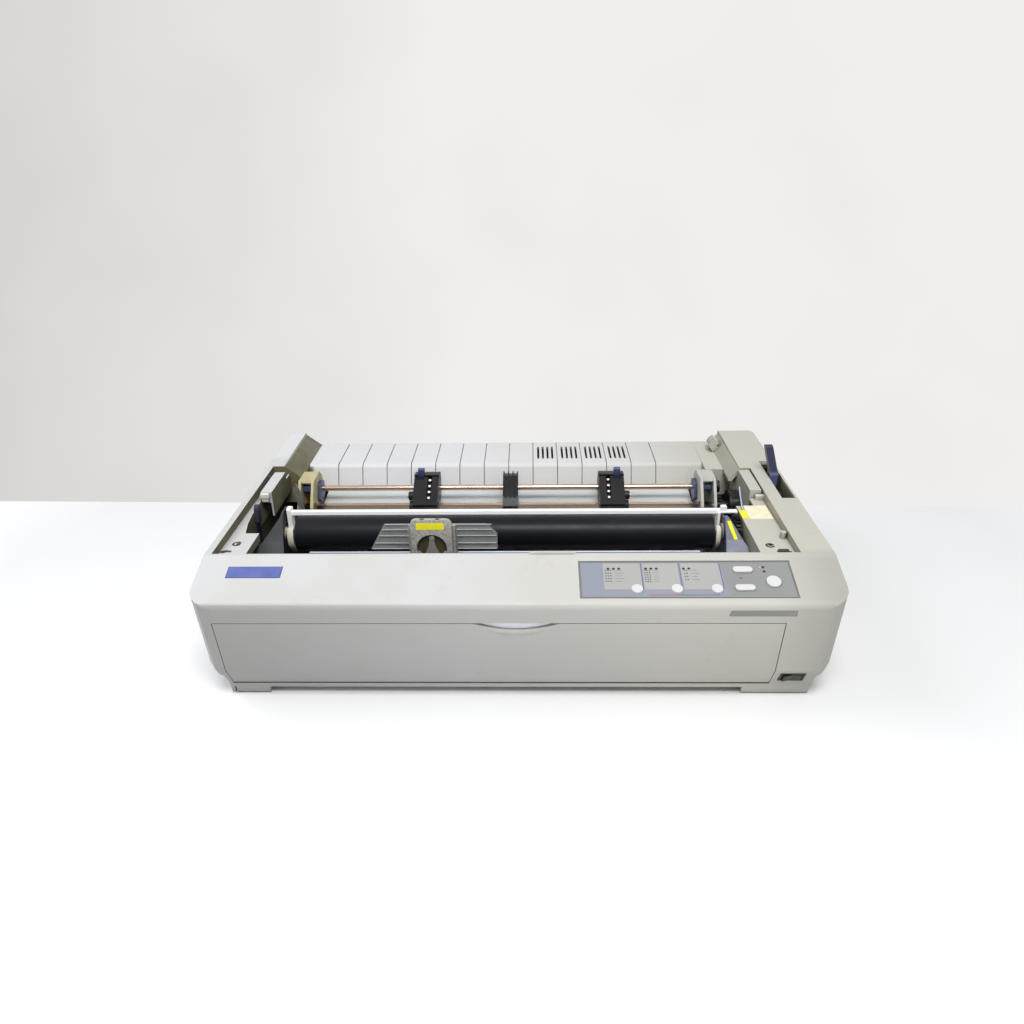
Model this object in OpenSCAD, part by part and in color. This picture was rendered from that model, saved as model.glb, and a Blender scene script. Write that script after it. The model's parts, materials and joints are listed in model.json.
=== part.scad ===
// Wide-carriage dot matrix printer, with its top cover and paper guide taken off.
// Millimetres. +X is the printer's right, +Y its rear, +Z up. The origin is on the
// table, under the middle of the case.

/* [Case] */
// Width of the case, without the platen knob
body_w = 632; // [620:1:650]
// Depth of the case
body_d = 401; // [398:1:410]
// Height of the rear corners
rear_h = 149.5; // [148.5:0.5:154]
// Height of the front lip of the mechanism bay
lip_h = 144.4; // [143:0.2:147]
// Depth of the sloping front top, from front edge to lip
slope_d = 62.7; // [60:0.1:66]
// Height of the front edge, where slope and front face meet
crease_h = 124; // [121:0.5:127]
// Backward lean of the front face
front_lean = 8; // [6:0.5:9]
// Height of the seam between lower and upper case
seam_h = 39.5; // [38:0.5:42]
// Wall of the mouldings
wall = 3; // [2.4:0.1:3.4]
// Corner radius of the case in plan
corner_r = 23; // [16:1:26]
// Height of the ribbed rear deck
deck_h = 133; // [130:0.5:136]
// Depth of the ribbed rear deck
deck_d = 75; // [72:0.5:78]
// Distance between the grooves of the rear deck
groove_pitch = 31.8; // [30:0.2:34]

/* [Front door] */
// Distance from the case's left side to the door opening
door_in_l = 21.4; // [20:0.2:26]
// Distance from the case's right side to the door opening
door_in_r = 59.2; // [56:0.2:66]
// Height of the door's top edge
door_top = 101.8; // [96:0.2:104]
// Gap round the door
door_gap = 0.7; // [0.5:0.1:1.2]
// Opening angle of the door
door_open = 80; // [60:1:82]
// Width of the finger notch
notch_w = 82; // [60:1:100]
// Depth of the finger notch
notch_d = 9.5; // [6:0.5:12]

/* [Platen and paper feed] */
// Diameter of the platen roller
platen_d = 39; // [36:0.5:40]
// Distance from the case's left side to the platen roller
platen_in_l = 67; // [66:0.5:72]
// Distance from the case's right side to the platen roller
platen_in_r = 99; // [98.5:0.5:104]
// Diameter of the platen shaft
platen_shaft_d = 8; // [7:0.5:10]
// Height of the platen axis
platen_z = 116; // [114:0.5:117]
// Diameter of the platen knob
knob_d = 38; // [32:0.5:40]
// Reach of the knob beyond the case
knob_out = 7; // [5:0.5:9]
// Module of the feed gears
gear_m = 1.5; // [1.4:0.05:1.5]
// Teeth of the platen gear
platen_teeth = 24; // [24:1:25]
// Teeth of each idler gear
idler_teeth = 24; // [23:1:24]
// Teeth of the tractor gear
tractor_teeth = 14; // [13:1:15]
// Teeth of the feed motor's pinion
pinion_teeth = 12; // [11:1:13]

/* [Tractors] */
// Side of the square drive shaft
drive_side = 6; // [5:0.5:7]
// Diameter of the round support shaft
support_d = 7; // [6:0.5:9]
// Left edge of the left tractor
tractor_l = -131; // [-140:1:-110]
// Right edge of the right tractor
tractor_r = 130; // [110:1:140]
// Width of one tractor
tractor_w = 31; // [29:1:33]
// Left edge of the centre support
centre_x = -20; // [-40:1:0]
// Width of the centre support
centre_w = 18.5; // [16:0.5:22]
// Number of pins that stand up in each tractor
pins = 4; // [3:1:4]

/* [Carriage] */
// Middle of the print head at rest
head_x = -89.5; // [-120:0.5:-60]
// Width of the print head
head_w = 43; // [40:0.5:46]
// Height of the print head's top
head_top = 158.5; // [156:0.5:160]
// Diameter of the carriage shaft
rail_d = 12; // [10:0.5:13]
// Overall width of the clear ribbon mask
mask_w = 142; // [120:1:150]
// Travel of the carriage to the left
travel_l = 95; // [80:1:96]
// Travel of the carriage to the right
travel_r = 238; // [200:1:239]

/* [Controls] */
// Diameter of the three small round buttons
button_d = 10.8; // [9:0.2:12]
// Diameter of the large round button
pause_d = 14; // [12:0.2:15]
// Length of the two long buttons
long_l = 19; // [16:0.5:21]
// Width of the two long buttons
long_w = 7; // [6:0.2:8]
// Travel of the buttons
button_travel = 1.5; // [1:0.1:1.6]
// Width of the power rocker
rocker_w = 21; // [18:0.5:22]
// Height of the power rocker
rocker_h = 11.5; // [10:0.5:12]
// Tilt of the power rocker to either side
rocker_tilt = 6; // [4:0.5:7]
// Reach of the release lever above the case
lever_rise = 36; // [30:0.5:38]
// Width of the release lever
lever_w = 9; // [6:0.5:10]
// Sideways lean of the release lever's handle
lever_lean = 7; // [0:0.5:8]

/* [Hidden] */

cream = [0.80, 0.80, 0.74];
dark = [0.10, 0.10, 0.11];
blue = [0.20, 0.26, 0.42];
steel = [0.70, 0.71, 0.72];
zinc = [0.52, 0.54, 0.57];
round_fn = 48;
eps = 0.01;

// ---- Case outline, as points (y, z) and (x, z) ----
front_y = -body_d / 2;
rear_y = body_d / 2;
side_x = body_w / 2;
lip_y = front_y + slope_d;
bevel_h = 16;
bevel_d = 12.7;
foot_set = 2.9;
door_x0 = -body_w / 2 + door_in_l;
door_x1 = body_w / 2 - door_in_r;
crease_r = 7;
side_bevel_top = 50;
side_bevel_mid = 28;
side_bevel_in = 17;
side_foot_in = 18;
function face_y(z) = front_y + (crease_h - z) * tan(front_lean);
seam_y = face_y(seam_h);
bevel_y = seam_y + bevel_d;
foot_y = bevel_y + foot_set;
slope_a = atan2(lip_h - crease_h, slope_d);
function slope_z(y) = crease_h + (y - front_y) * tan(slope_a);
function rim_z(y) = lip_h + (rear_h - lip_h) * (y - lip_y) / (rear_y - lip_y);

// ---- Side housings ----
rim_l = 7;
rim_r = 33;
tower_yl = 85;
tower_yr = 72;
tower_l = 20;
tower_r = 46;
ledge_top = rim_z(lip_y) - 8.4;
deck_y = rear_y - deck_d;
deck_foot_y = deck_y - 12;
deck_foot_z = deck_h - 29;
deck_x0 = -side_x + 41;
deck_x1 = side_x - 56;
ledge_l = -side_x + 36;
ledge_r = side_x - 68;
box_w = 32;
box_y = deck_foot_y - 10.5;
slot_w = 15;
slot_x0 = side_x - slot_w - 2.5;
slot_y0 = -12;
slot_y1 = 93;

// ---- Mechanism stations ----
sheet = 2;
platen_x0 = -side_x + platen_in_l;
platen_x1 = side_x - platen_in_r;
frame_x0 = platen_x0 - 17;
frame_x1 = platen_x1 + 12;
base_z = 50;
platen_y = -35;
platen_r = platen_d / 2;
drive_y = 52.5;
drive_z = platen_z - 9;
drive_room = drive_side * sqrt(2) + 1.4;
support_y = 83.5;
support_z = platen_z + 2;
rail_y = -92;
rail_z = 74;
run = 0.05;
clear = 0.4;
bracket_l = frame_x0 - 6;
bracket_r = frame_x1 - 8;
bracket_w = 19;
bracket_t = 3.2;
arm_w = 4;
hub_d = 11;
lever_y = 48;
lever_z = 84;
lever_top = rim_z(lever_y) + lever_rise;
side_lever_y = -50;
side_lever_z = 94;
bail_pin_y = -24;
bail_pin_z = 92;
side_lever_x = -side_x + 24;
flange_line = [[-102, 101.6], [-86, 117], [-74, 126], [-41, 139]];

// ---- Small tools ----
function unit(v) = v / norm(v);

// Arc of radius r that rounds corner b of the path a, b, c
function corner(a, b, c, r, n = 5) =
    let (u = unit(a - b), v = unit(c - b), half = acos(u * v) / 2,
         m = b + unit(u + v) * r / sin(half),
         p = b + u * r / tan(half) - m, q = b + v * r / tan(half) - m,
         a0 = atan2(p[1], p[0]),
         turn = (atan2(q[1], q[0]) - a0 + 540) % 360 - 180)
    [for (i = [0:n]) m + r * [cos(a0 + turn * i / n), sin(a0 + turn * i / n)]];

// Closed outline whose corner i is rounded with radius r[i]
function rounded(pts, r, n = 5) =
    let (k = len(pts))
    [for (i = [0:k - 1])
        each (r[i] > 0 ? corner(pts[(i + k - 1) % k], pts[i], pts[(i + 1) % k], r[i], n)
                       : [pts[i]])];

// A (y, z) outline drawn along X, and an (x, z) outline drawn along Y
module along_x(x0, x1)
    translate([x0, 0, 0]) rotate([90, 0, 90]) linear_extrude(x1 - x0) children();
module along_y(y0, y1)
    translate([0, y1, 0]) rotate([90, 0, 0]) linear_extrude(y1 - y0) children();
module block(x0, x1, y0, y1, z0, z1)
    translate([x0, y0, z0]) cube([x1 - x0, y1 - y0, z1 - z0]);
module rod_x(x0, x1, y, z, d)
    translate([x0, y, z]) rotate([0, 90, 0]) cylinder(d = d, h = x1 - x0, $fn = round_fn);
module rod_y(y0, y1, x, z, d)
    translate([x, y0, z]) rotate([-90, 0, 0]) cylinder(d = d, h = y1 - y0, $fn = round_fn);
module rod_z(z0, z1, x, y, d)
    translate([x, y, z0]) cylinder(d = d, h = z1 - z0, $fn = round_fn);
module pill(l, w, h) {
    translate([-(l - w) / 2, -w / 2, 0]) cube([l - w, w, h]);
    for (s = [-1, 1]) translate([s * (l - w) / 2, 0, 0]) cylinder(d = w, h = h, $fn = round_fn);
}
module rect_x(y0, y1, z0, z1) translate([y0, z0]) square([y1 - y0, z1 - z0]);

// The case as a solid, drawn in by t all over
module case_solid(t = 0, z0 = -1, z1 = 200) {
    plan_r = corner_r - t;
    intersection() {
        along_x(-side_x + t, side_x - t) polygon(rounded(
            [[foot_y + t, -2], [bevel_y + t, bevel_h], [seam_y + t, seam_h],
             [front_y + t, crease_h - t / 2], [lip_y + t / 4, lip_h - t],
             [rear_y - t, rear_h - t], [rear_y - t, -2]],
            [0, 0, 0, crease_r, 0, 3, 0]));
        along_y(front_y - 1, rear_y + 1) polygon(rounded(
            [for (s = [1, -1]) each s > 0
                ? [[side_x - t, 200], [side_x - t, side_bevel_top],
                   [side_x - side_bevel_in - t, side_bevel_mid], [side_x - side_foot_in - t, -2]]
                : [[side_foot_in + t - side_x, -2], [side_bevel_in + t - side_x, side_bevel_mid],
                   [t - side_x, side_bevel_top], [t - side_x, 200]]],
            [0, 12, 8, 0, 0, 8, 12, 0]));
        // rear corners upright, front corners leaning with the front face
        translate([0, 0, z0]) linear_extrude(z1 - z0) polygon(rounded(
            [[-side_x + t, front_y - 60], [side_x - t, front_y - 60],
             [side_x - t, rear_y - t], [-side_x + t, rear_y - t]],
            [0, 0, plan_r / 2, plan_r / 2]));
        translate([0, front_y, crease_h]) rotate([front_lean, 0, 0])
            translate([0, 0, -body_d / 2]) linear_extrude(body_d * 0.7) polygon(rounded(
            [[-side_x + t, t * cos(front_lean)], [side_x - t, t * cos(front_lean)],
             [side_x - t, body_d + 60], [-side_x + t, body_d + 60]],
            [plan_r, plan_r, 0, 0]));
    }
}

// ---- Front door, hinged along its lower edge ----
door_t = 3;
hinge_r = 2.2;
hinge_y = bevel_y + 1.6;
hinge_z = bevel_h + 1.5;
door_pin_d = 3;
door_pin_l = 4;

module door_outline() polygon([
    [hinge_y - hinge_r * cos(28), hinge_z - hinge_r * sin(28)], [seam_y, seam_h],
    [face_y(door_top), door_top], [face_y(door_top) + door_t, door_top],
    [seam_y + door_t, seam_h + 1], [hinge_y + hinge_r * 0.6, hinge_z + hinge_r * 0.8]]);

module front_door() color(cream) {
    x0 = door_x0 + door_gap;
    x1 = door_x1 - door_gap;
    notch_r = (notch_w * notch_w / 4 + notch_d * notch_d) / (2 * notch_d);
    cup = 7;
    difference() {
        union() {
            along_x(x0, x1) door_outline();
            rod_x(x0 - door_pin_l, x1 + door_pin_l, hinge_y, hinge_z, door_pin_d);
            rod_x(x0, x1, hinge_y, hinge_z, hinge_r * 2);
            // stiffening flange along the top, behind the skin
            along_x(x0 + 6, x1 - 6) rect_x(face_y(door_top) + door_t - eps,
                face_y(door_top) + cup, door_top - 3, door_top);
            // cup behind the finger notch
            intersection() {
                along_y(face_y(door_top) + 1, face_y(door_top) + cup + 2)
                    translate([0, door_top + notch_r - notch_d])
                    circle(r = notch_r + 3, $fn = 120);
                block(-notch_w / 2 - 6, notch_w / 2 + 6, front_y, foot_y,
                      door_top - notch_d - 4, door_top);
            }
        }
        // the notch itself, open to the front and to the top
        translate([0, face_y(door_top) + cup, door_top + notch_r - notch_d])
            rotate([90, 0, 0]) cylinder(r = notch_r, h = 20, $fn = 120);
    }
}

// ---- Lower case ----
floor_z = 9;
front_foot_x = [[-side_x + 23, -side_x + 58], [side_x - 86, side_x - 59]];
front_foot_d = 34;
foot_top = hinge_z - hinge_r - 1.1;
pad_d = 20;
pad_h = 2.5;
pad_sink = 1;
pad_at = [[-side_x + 40, foot_y + 17], [side_x - 72, foot_y + 17],
          [-side_x + 46, rear_y - 30], [side_x - 46, rear_y - 30]];
post_d = 9;
screw_d = 3.4;
base_y0 = -132;
base_y1 = 106;
base_posts = [for (x = [frame_x0 + 26, frame_x1 - 29], y = [base_y0 + 62, base_y1 - 11]) [x, y]];
board_z = 17;
board_y0 = rear_y - 82.5;
board_y1 = rear_y - 8.5;
board_x0 = -side_x + 54;
board_x1 = -48;
supply_x0 = 48;
supply_x1 = side_x - 84;
function corners(x0, x1) = [for (x = [x0 + 12, x1 - 12], y = [board_y0 + 8, board_y1 - 8]) [x, y]];
inlet_x = side_x - 80;
socket_x = board_x0 + 112;

// Frame of reference of the front bevel: origin on its middle, +Z out of it
bevel_a = atan2(bevel_d, seam_h - bevel_h);
switch_x = side_x - 40;
module on_bevel(x) translate([x, (seam_y + bevel_y) / 2, (seam_h + bevel_h) / 2])
    rotate([90 + bevel_a, 0, 0]) children();

module lower_case() color(cream) difference() {
    union() {
        difference() {
            case_solid(0, floor_z, seam_h);
            case_solid(wall, floor_z + wall, seam_h + 1);
        }
        // front foot blocks, below the door and at the right corner
        intersection() {
            case_solid(0, pad_h - pad_sink, foot_top);
            union() {
                for (f = front_foot_x) block(f[0], f[1], foot_y - 5, foot_y + front_foot_d, 0, foot_top);
                block(door_x1, side_x, foot_y - 5, foot_y + front_foot_d, 0, foot_top);
                block(-side_x, door_x0, foot_y - 5, foot_y + front_foot_d, 0, foot_top);
            }
        }
        for (s = [-1, 1]) intersection() {
            case_solid(0, pad_h - pad_sink, floor_z + 1);
            block(s * (side_x - 46) - 24, s * (side_x - 46) + 24, rear_y - 54, rear_y - 6, 0, 20);
        }
        for (p = base_posts) rod_z(floor_z, base_z, p[0], p[1], post_d);
        for (p = concat(corners(board_x0, board_x1), corners(supply_x0, supply_x1)))
            rod_z(floor_z, board_z, p[0], p[1], post_d - 2);
        // walls beside the door, with its hinge bores
        for (x = [door_x0 - 7, door_x1])
            intersection() {
                case_solid(0, floor_z, seam_h);
                block(x, x + 7, front_y, foot_y + 12, 0, seam_h);
            }
    }
    // opening for the door, and the dished strip behind it
    block(door_x0, door_x1, front_y - 5, foot_y + 9, foot_top, seam_h + 5);
    rod_x(door_x0 - door_pin_l - 1, door_x1 + door_pin_l + 1, hinge_y, hinge_z, door_pin_d + 2 * run);
    // rocker switch
    on_bevel(switch_x) translate([-rocker_w / 2 - 1.1, -rocker_h / 2 - 1.1, -12])
        cube([rocker_w + 2.2, rocker_h + 2.2, 20]);
    // pads and screws
    for (p = pad_at) rod_z(-5, pad_h, p[0], p[1], pad_d);
    for (p = base_posts) rod_z(base_z - 16, base_z + 1, p[0], p[1], 2.8);
    // floor vents
    for (i = [0:9]) block(supply_x0 + 15 + i * 14.5, supply_x0 + 20 + i * 14.5, board_y0 + 20, board_y1 - 20,
                          floor_z - 1, floor_z + wall + 1);
    // inlet and socket share the rear wall with the upper case
    block(inlet_x - 14, inlet_x + 14, rear_y - wall - 1, rear_y + 1, 21, seam_h + 1);
}

module rubber_feet() color(dark)
    for (p = pad_at) rod_z(0, pad_h, p[0], p[1], pad_d - 2 * clear);

// ---- Upper case ----
chassis_y = foot_y + 9;
slot_lo = 62;
slot_hi = 84;
knob_dish_d = knob_d + 6;
knob_dish = 11;
panel_x1 = side_x - 48;
panel_x0 = panel_x1 - 207;
panel_y0 = front_y + 8.5;
panel_y1 = lip_y - 8.5;
panel_sink = 1.6;
badge_x0 = -side_x + 30;
badge_x1 = badge_x0 + 54.5;
badge_y0 = front_y + 33.6;
badge_y1 = badge_y0 + 14.5;

// Frame of reference of the sloping top: x as in the case, y along the slope from the crease
module on_slope() translate([0, front_y, crease_h]) rotate([slope_a, 0, 0]) children();
function up_slope(y) = (y - front_y) / cos(slope_a);

// Side face of the rear deck, from its foot up over the bend to the rear edge
function deck_path(t) = [
    [deck_foot_y + t, deck_foot_z], [deck_y + t * 0.9, deck_h - t - 0.5],
    [rear_y - wall, deck_h - t]];
module deck_side(t0, t1) polygon(rounded(
    [deck_path(t0)[0], deck_path(t0)[1], deck_path(t0)[2], deck_path(t1)[2], deck_path(t1)[1],
     deck_path(t1)[0]], [0, 7 - t0, 0, 0, 7 - t1 > 1 ? 7 - t1 : 1, 0]));

module rear_deck() difference() {
    along_x(deck_x0, deck_x1) deck_side(0, wall);
    for (i = [0:13]) {
        x = deck_x0 + 38 + i * groove_pitch;
        along_x(x - 0.6, x + 0.6) deck_side(-0.5, 1.1);
    }
    for (g = [0:3], k = [0:3]) {
        x = deck_x0 + 38 + (8 + g) * groove_pitch + 7 + 6.2 * k;
        translate([x, (rear_y - 16 + deck_y + 17) / 2, deck_h - wall - 1]) rotate([0, 0, 90])
            pill(rear_y - 33 - deck_y, 2.8, 6);
    }
}

module upper_case() color(cream) {
    difference() {
        union() {
            difference() {
                case_solid(0, seam_h, 200);
                case_solid(wall, -1, 200);
                // mechanism bay, between the side rims
                block(-side_x + rim_l, side_x - rim_r, lip_y + wall, tower_yr, deck_foot_z, 200);
                block(-side_x + rim_l, 0, lip_y + wall, tower_yl, deck_foot_z, 200);
                // between the towers, above the deck
                block(-side_x + tower_l, side_x - tower_r, tower_yr - 1, rear_y + 1, deck_h, 200);
            }
            // lip flange
            along_x(-side_x + wall, side_x - wall) polygon([[lip_y, lip_h - 0.8],
                [lip_y, lip_h - 16], [lip_y + wall, lip_h - 16], [lip_y + wall, lip_h - 0.8]]);
            rear_deck();
            side_housing_left();
            side_housing_right();
            // inner wall behind the door, with the front paper slot
            along_x(door_x0 - 7, door_x1 + 7)
                rect_x(chassis_y, chassis_y + wall, seam_h, slope_z(chassis_y + wall) - wall / 2 - 1);
            for (x = [door_x0 - 7, door_x1])
                intersection() {
                    case_solid(0, seam_h, door_top + 10);
                    block(x, x + 7, front_y, chassis_y + 1, seam_h, 200);
                }
            // low ridge in the middle of the lip
            translate([36, 0, 0]) along_y(lip_y, lip_y + wall)
                polygon(rounded([[-30, lip_h - 2], [-18, lip_h + 2.4], [18, lip_h + 2.4],
                                 [30, lip_h - 2]], [0, 8, 8, 0]));
            // rim of the knob's dish
            rod_x(side_x - knob_dish - wall, side_x - 1, platen_y, platen_z, knob_dish_d + 2 * wall);
        }
        // door opening
        block(door_x0, door_x1, front_y - 5, chassis_y, seam_h - 1, door_top + door_gap);
        // front paper slot
        block(frame_x0 + 34, frame_x1 - 21, chassis_y - 1, chassis_y + wall + 1, slot_lo, slot_hi);
        // control panel recess and badge recess on the slope
        on_slope() {
            translate([panel_x0, up_slope(panel_y0), -panel_sink])
                cube([panel_x1 - panel_x0, up_slope(panel_y1) - up_slope(panel_y0), 5]);
            translate([panel_x0 + 4, up_slope(panel_y0) + 4, -15])
                cube([panel_x1 - panel_x0 - 8, up_slope(panel_y1) - up_slope(panel_y0) - 8, 17]);
            translate([badge_x0, up_slope(badge_y0), -0.8])
                cube([badge_x1 - badge_x0, up_slope(badge_y1) - up_slope(badge_y0), 5]);
        }
        // name strip recess on the front face, left bare
        translate([panel_x1 - 66.3, face_y(114.5), 114.5]) rotate([front_lean, 0, 0])
            translate([0, -5, -3.5]) cube([63, 5.5, 7]);
        // slot of the release lever
        block(slot_x0, slot_x0 + slot_w, slot_y0, slot_y1, 100, 200);
        // dish and bore of the platen knob
        rod_x(side_x - knob_dish, side_x + 1, platen_y, platen_z, knob_dish_d);
        rod_x(side_x - 30, side_x + 1, platen_y, platen_z, 14);
        // rear sockets
        block(inlet_x - 14, inlet_x + 14, rear_y - wall - 1, rear_y + 1, seam_h - 1, 42);
        block(socket_x - 35, socket_x + 35, rear_y - wall - 1, rear_y + 1, 46, 62);
    }
}

// Left housing: rim, ledge with its arc, hinge block and rear tower
block_d = 60;
module side_housing_left() {
    inner = -side_x + 26;
    xr = -side_x + rim_l;
    step_y = -74;
    arc = [[21, step_y], [16.5, -52], [14, -28], [13.2, 0], [13.2, tower_yl + eps]];
    difference() {
        translate([-side_x, 0, ledge_top - wall]) linear_extrude(wall) polygon(concat(
            [[1, lip_y + wall - eps], [36, lip_y + wall - eps], [36, step_y]], arc,
            [[1, tower_yl + eps]]));
        rod_z(0, 200, -side_x + 21, -98, 4.5);
        block(xr + 1, inner - 1, lip_y + 6, lip_y + 12, 100, 200);
    }
    // wall that hangs from the arc, and the one at the ledge's inner edge
    translate([-side_x, 0, 110]) linear_extrude(ledge_top - 111) polygon(concat(
        arc, [for (i = [4:-1:0]) arc[i] - [2, 0]]));
    block(ledge_l - 2, ledge_l, lip_y + wall - eps, step_y, 127, ledge_top - 1);
    // rim skirt down to the ledge
    along_y(lip_y + wall - eps, tower_yl + eps)
        polygon([[-side_x + 1, ledge_top - wall], [xr, ledge_top - wall], [xr, rim_z(lip_y) - 1],
                 [-side_x + 1, rim_z(lip_y) - 1]]);
    // hinge block of the top cover, with its inner wall
    difference() {
        block(inner - 13, inner, 10, 10 + block_d, ledge_top - wall, rim_z(10) - 0.6);
        block(inner - 11, inner - 2, 12, 8 + block_d, ledge_top - wall - 1, rim_z(10) - 2.6);
    }
    block(inner - 2, inner, 10, tower_yl + eps, 116, ledge_top + 1);
    // tower
    along_y(tower_yl, rear_y - wall + eps) polygon([
        [-side_x + 1, rim_z(tower_yl) - wall], [-side_x + tower_l, rim_z(tower_yl) - wall],
        [deck_x0 - wall, deck_h - wall], [deck_x0 - wall, 98], [deck_x0, 98],
        [deck_x0, deck_h - 1], [-side_x + tower_l + 1, rim_z(tower_yl) - 0.2],
        [-side_x + 1, rim_z(tower_yl) - 0.2]]);
    along_y(tower_yl, tower_yl + wall) polygon([
        [-side_x + 1, 98], [deck_x0, 98], [deck_x0, deck_h - 1],
        [-side_x + tower_l + 1, rim_z(tower_yl) - 0.2], [-side_x + 1, rim_z(tower_yl) - 0.2]]);
}

// Right housing: rim with the lever slot, ledge, hinge block, box and rear tower
module side_housing_right() {
    inner = side_x - tower_r - 2;
    xr = side_x - rim_r;
    step_y = -11;
    difference() {
        union() {
            translate([0, 0, ledge_top - wall]) linear_extrude(wall) polygon([
                [side_x - wall + 1, lip_y + wall - eps], [ledge_r, lip_y + wall - eps],
                [ledge_r, step_y], [inner, step_y], [inner, tower_yr + eps],
                [side_x - wall + 1, tower_yr + eps]]);
            // wall that hangs from the ledge's inner edge
            block(ledge_r, ledge_r + 2, lip_y + wall - eps, step_y, 114, ledge_top - 1);
        }
        rod_z(0, 200, side_x - 54, -104, 4.5);
        block(side_x - 51, side_x - 36, lip_y + 16, lip_y + 21, 100, 200);
        rod_x(ledge_r - 1, ledge_r + 4, platen_y, platen_z, 14);
    }
    block(xr, xr + wall, lip_y + wall - eps, tower_yr + eps, ledge_top - eps, rim_z(lip_y) - 1);
    // walls of the lever slot
    difference() {
        block(slot_x0 - 2, slot_x0 + slot_w + 1, slot_y0 - 2, slot_y1 + 2, rim_z(slot_y0) - 8,
              rim_z(slot_y0) - 1);
        block(slot_x0, slot_x0 + slot_w, slot_y0, slot_y1, 100, 200);
    }
    // hinge block of the top cover, with its inner wall
    difference() {
        block(inner, inner + 13, 10, 10 + block_d, ledge_top - wall, rim_z(10) - 0.6);
        block(inner + 2, inner + 11, 12, 8 + block_d, ledge_top - wall - 1, rim_z(10) - 2.6);
    }
    block(inner, inner + 2, 10, tower_yr + 32, 104, ledge_top + 1);
    // peg on the ledge
    rod_z(ledge_top - 1, ledge_top + 7, side_x - 37, -88, 6);
    // tower
    along_y(tower_yr, rear_y - wall + eps) polygon([
        [side_x - 1, rim_z(tower_yr) - wall], [inner + 5, rim_z(tower_yr) - wall],
        [inner - 6, deck_h - wall], [deck_x1 - 2, deck_h - wall], [deck_x1 - 2, deck_h - eps],
        [inner + 3, rim_z(tower_yr) - 0.2], [side_x - 1, rim_z(tower_yr) - 0.2]]);
    along_y(deck_foot_y, rear_y - wall + eps) rect_x(inner, inner + wall, 98, deck_h + 2);
    along_y(tower_yr, tower_yr + wall) polygon([
        [side_x - 1, 98], [inner, 98], [inner, deck_h - 1],
        [inner + 3, rim_z(tower_yr) - 0.2], [side_x - 1, rim_z(tower_yr) - 0.2]]);
    // box at the end of the deck
    difference() {
        block(inner - box_w, inner + 1, box_y, rear_y - wall + eps, 98, deck_h);
        block(inner - box_w + 2, inner - 1, box_y + 2, rear_y - wall - 2, 97, deck_h - 2);
    }
    // catch for the top cover
    along_y(rear_y - 40, rear_y - 24) translate([inner, deck_h]) polygon([
        [-11, -1], [-4, -1], [-4, 7], [-8, 8.5], [-4, 12], [-6, 16], [-11, 18.5], [-16, 14.5],
        [-17.5, 10]]);
    // bracket and pin of the release lever
    block(xr, xr + wall, lever_y - 14, lever_y + 14, lever_z - 10, ledge_top - 1);
    rod_x(xr + wall - eps, slot_x0 + lever_w + 2, lever_y, lever_z, 6);
}

// ---- Control panel on the slope ----
button_proud = 1.6;
cap_h = 5;
panel_t = 2.4;
button_pitch = 38;
button_y = front_y + 19.5;
lamp_y = front_y + 44.5;
lamp_pitch = 5.2;
button_spots = [for (i = [0:2]) [panel_x0 + 55 + i * button_pitch, button_y]];
load_spot = [panel_x1 - 47.8, front_y + 42.4];
feed_spot = [panel_x1 - 49.3, front_y + 20.5];
pause_spot = [panel_x1 - 20.7, front_y + 28];
lamp_d = 3;
lamp_spots = concat(
    [for (i = [0:2]) [panel_x0 + 29 + lamp_pitch * i, lamp_y]],
    [for (i = [0:2]) [panel_x0 + 65.6 + lamp_pitch * i, lamp_y]],
    [for (i = [0:1]) [panel_x0 + 102.5 + lamp_pitch * i, lamp_y]],
    [for (i = [0:1]) [panel_x1 - 27, lamp_y + 1.5 - 5 * i]]);

module at_spot(p) on_slope() translate([p[0], up_slope(p[1]), 0]) children();

module control_panel() color([0.72, 0.72, 0.72]) difference() {
    on_slope() translate([panel_x0 + 0.3, up_slope(panel_y0) + 0.3, -panel_sink]) cube([
        panel_x1 - panel_x0 - 0.6, up_slope(panel_y1) - up_slope(panel_y0) - 0.6, panel_sink - 0.4]);
    for (p = button_spots) at_spot(p) translate([0, 0, -9]) cylinder(d = button_d + 0.8, h = 20, $fn = round_fn);
    at_spot(pause_spot) translate([0, 0, -9]) cylinder(d = pause_d + 0.8, h = 20, $fn = round_fn);
    for (p = [load_spot, feed_spot]) at_spot(p) translate([0, 0, -9]) pill(long_l + 0.8, long_w + 0.8, 20);
    for (p = lamp_spots) at_spot(p) translate([0, 0, -9]) cylinder(d = lamp_d, h = 20, $fn = 24);
}
module indicator_lamps() color([0.3, 0.5, 0.3])
    for (p = lamp_spots) at_spot(p) translate([0, 0, -panel_board_drop + eps])
        cylinder(d = lamp_d - 0.2, h = panel_board_drop - 0.2, $fn = 24);

panel_board_drop = 9;
module panel_board() color([0.15, 0.35, 0.2]) on_slope()
    translate([panel_x0 + 5, up_slope(panel_y0) + 5, -panel_board_drop - 1.6])
    cube([panel_x1 - panel_x0 - 10, up_slope(panel_y1) - up_slope(panel_y0) - 10, 1.6]);

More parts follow.
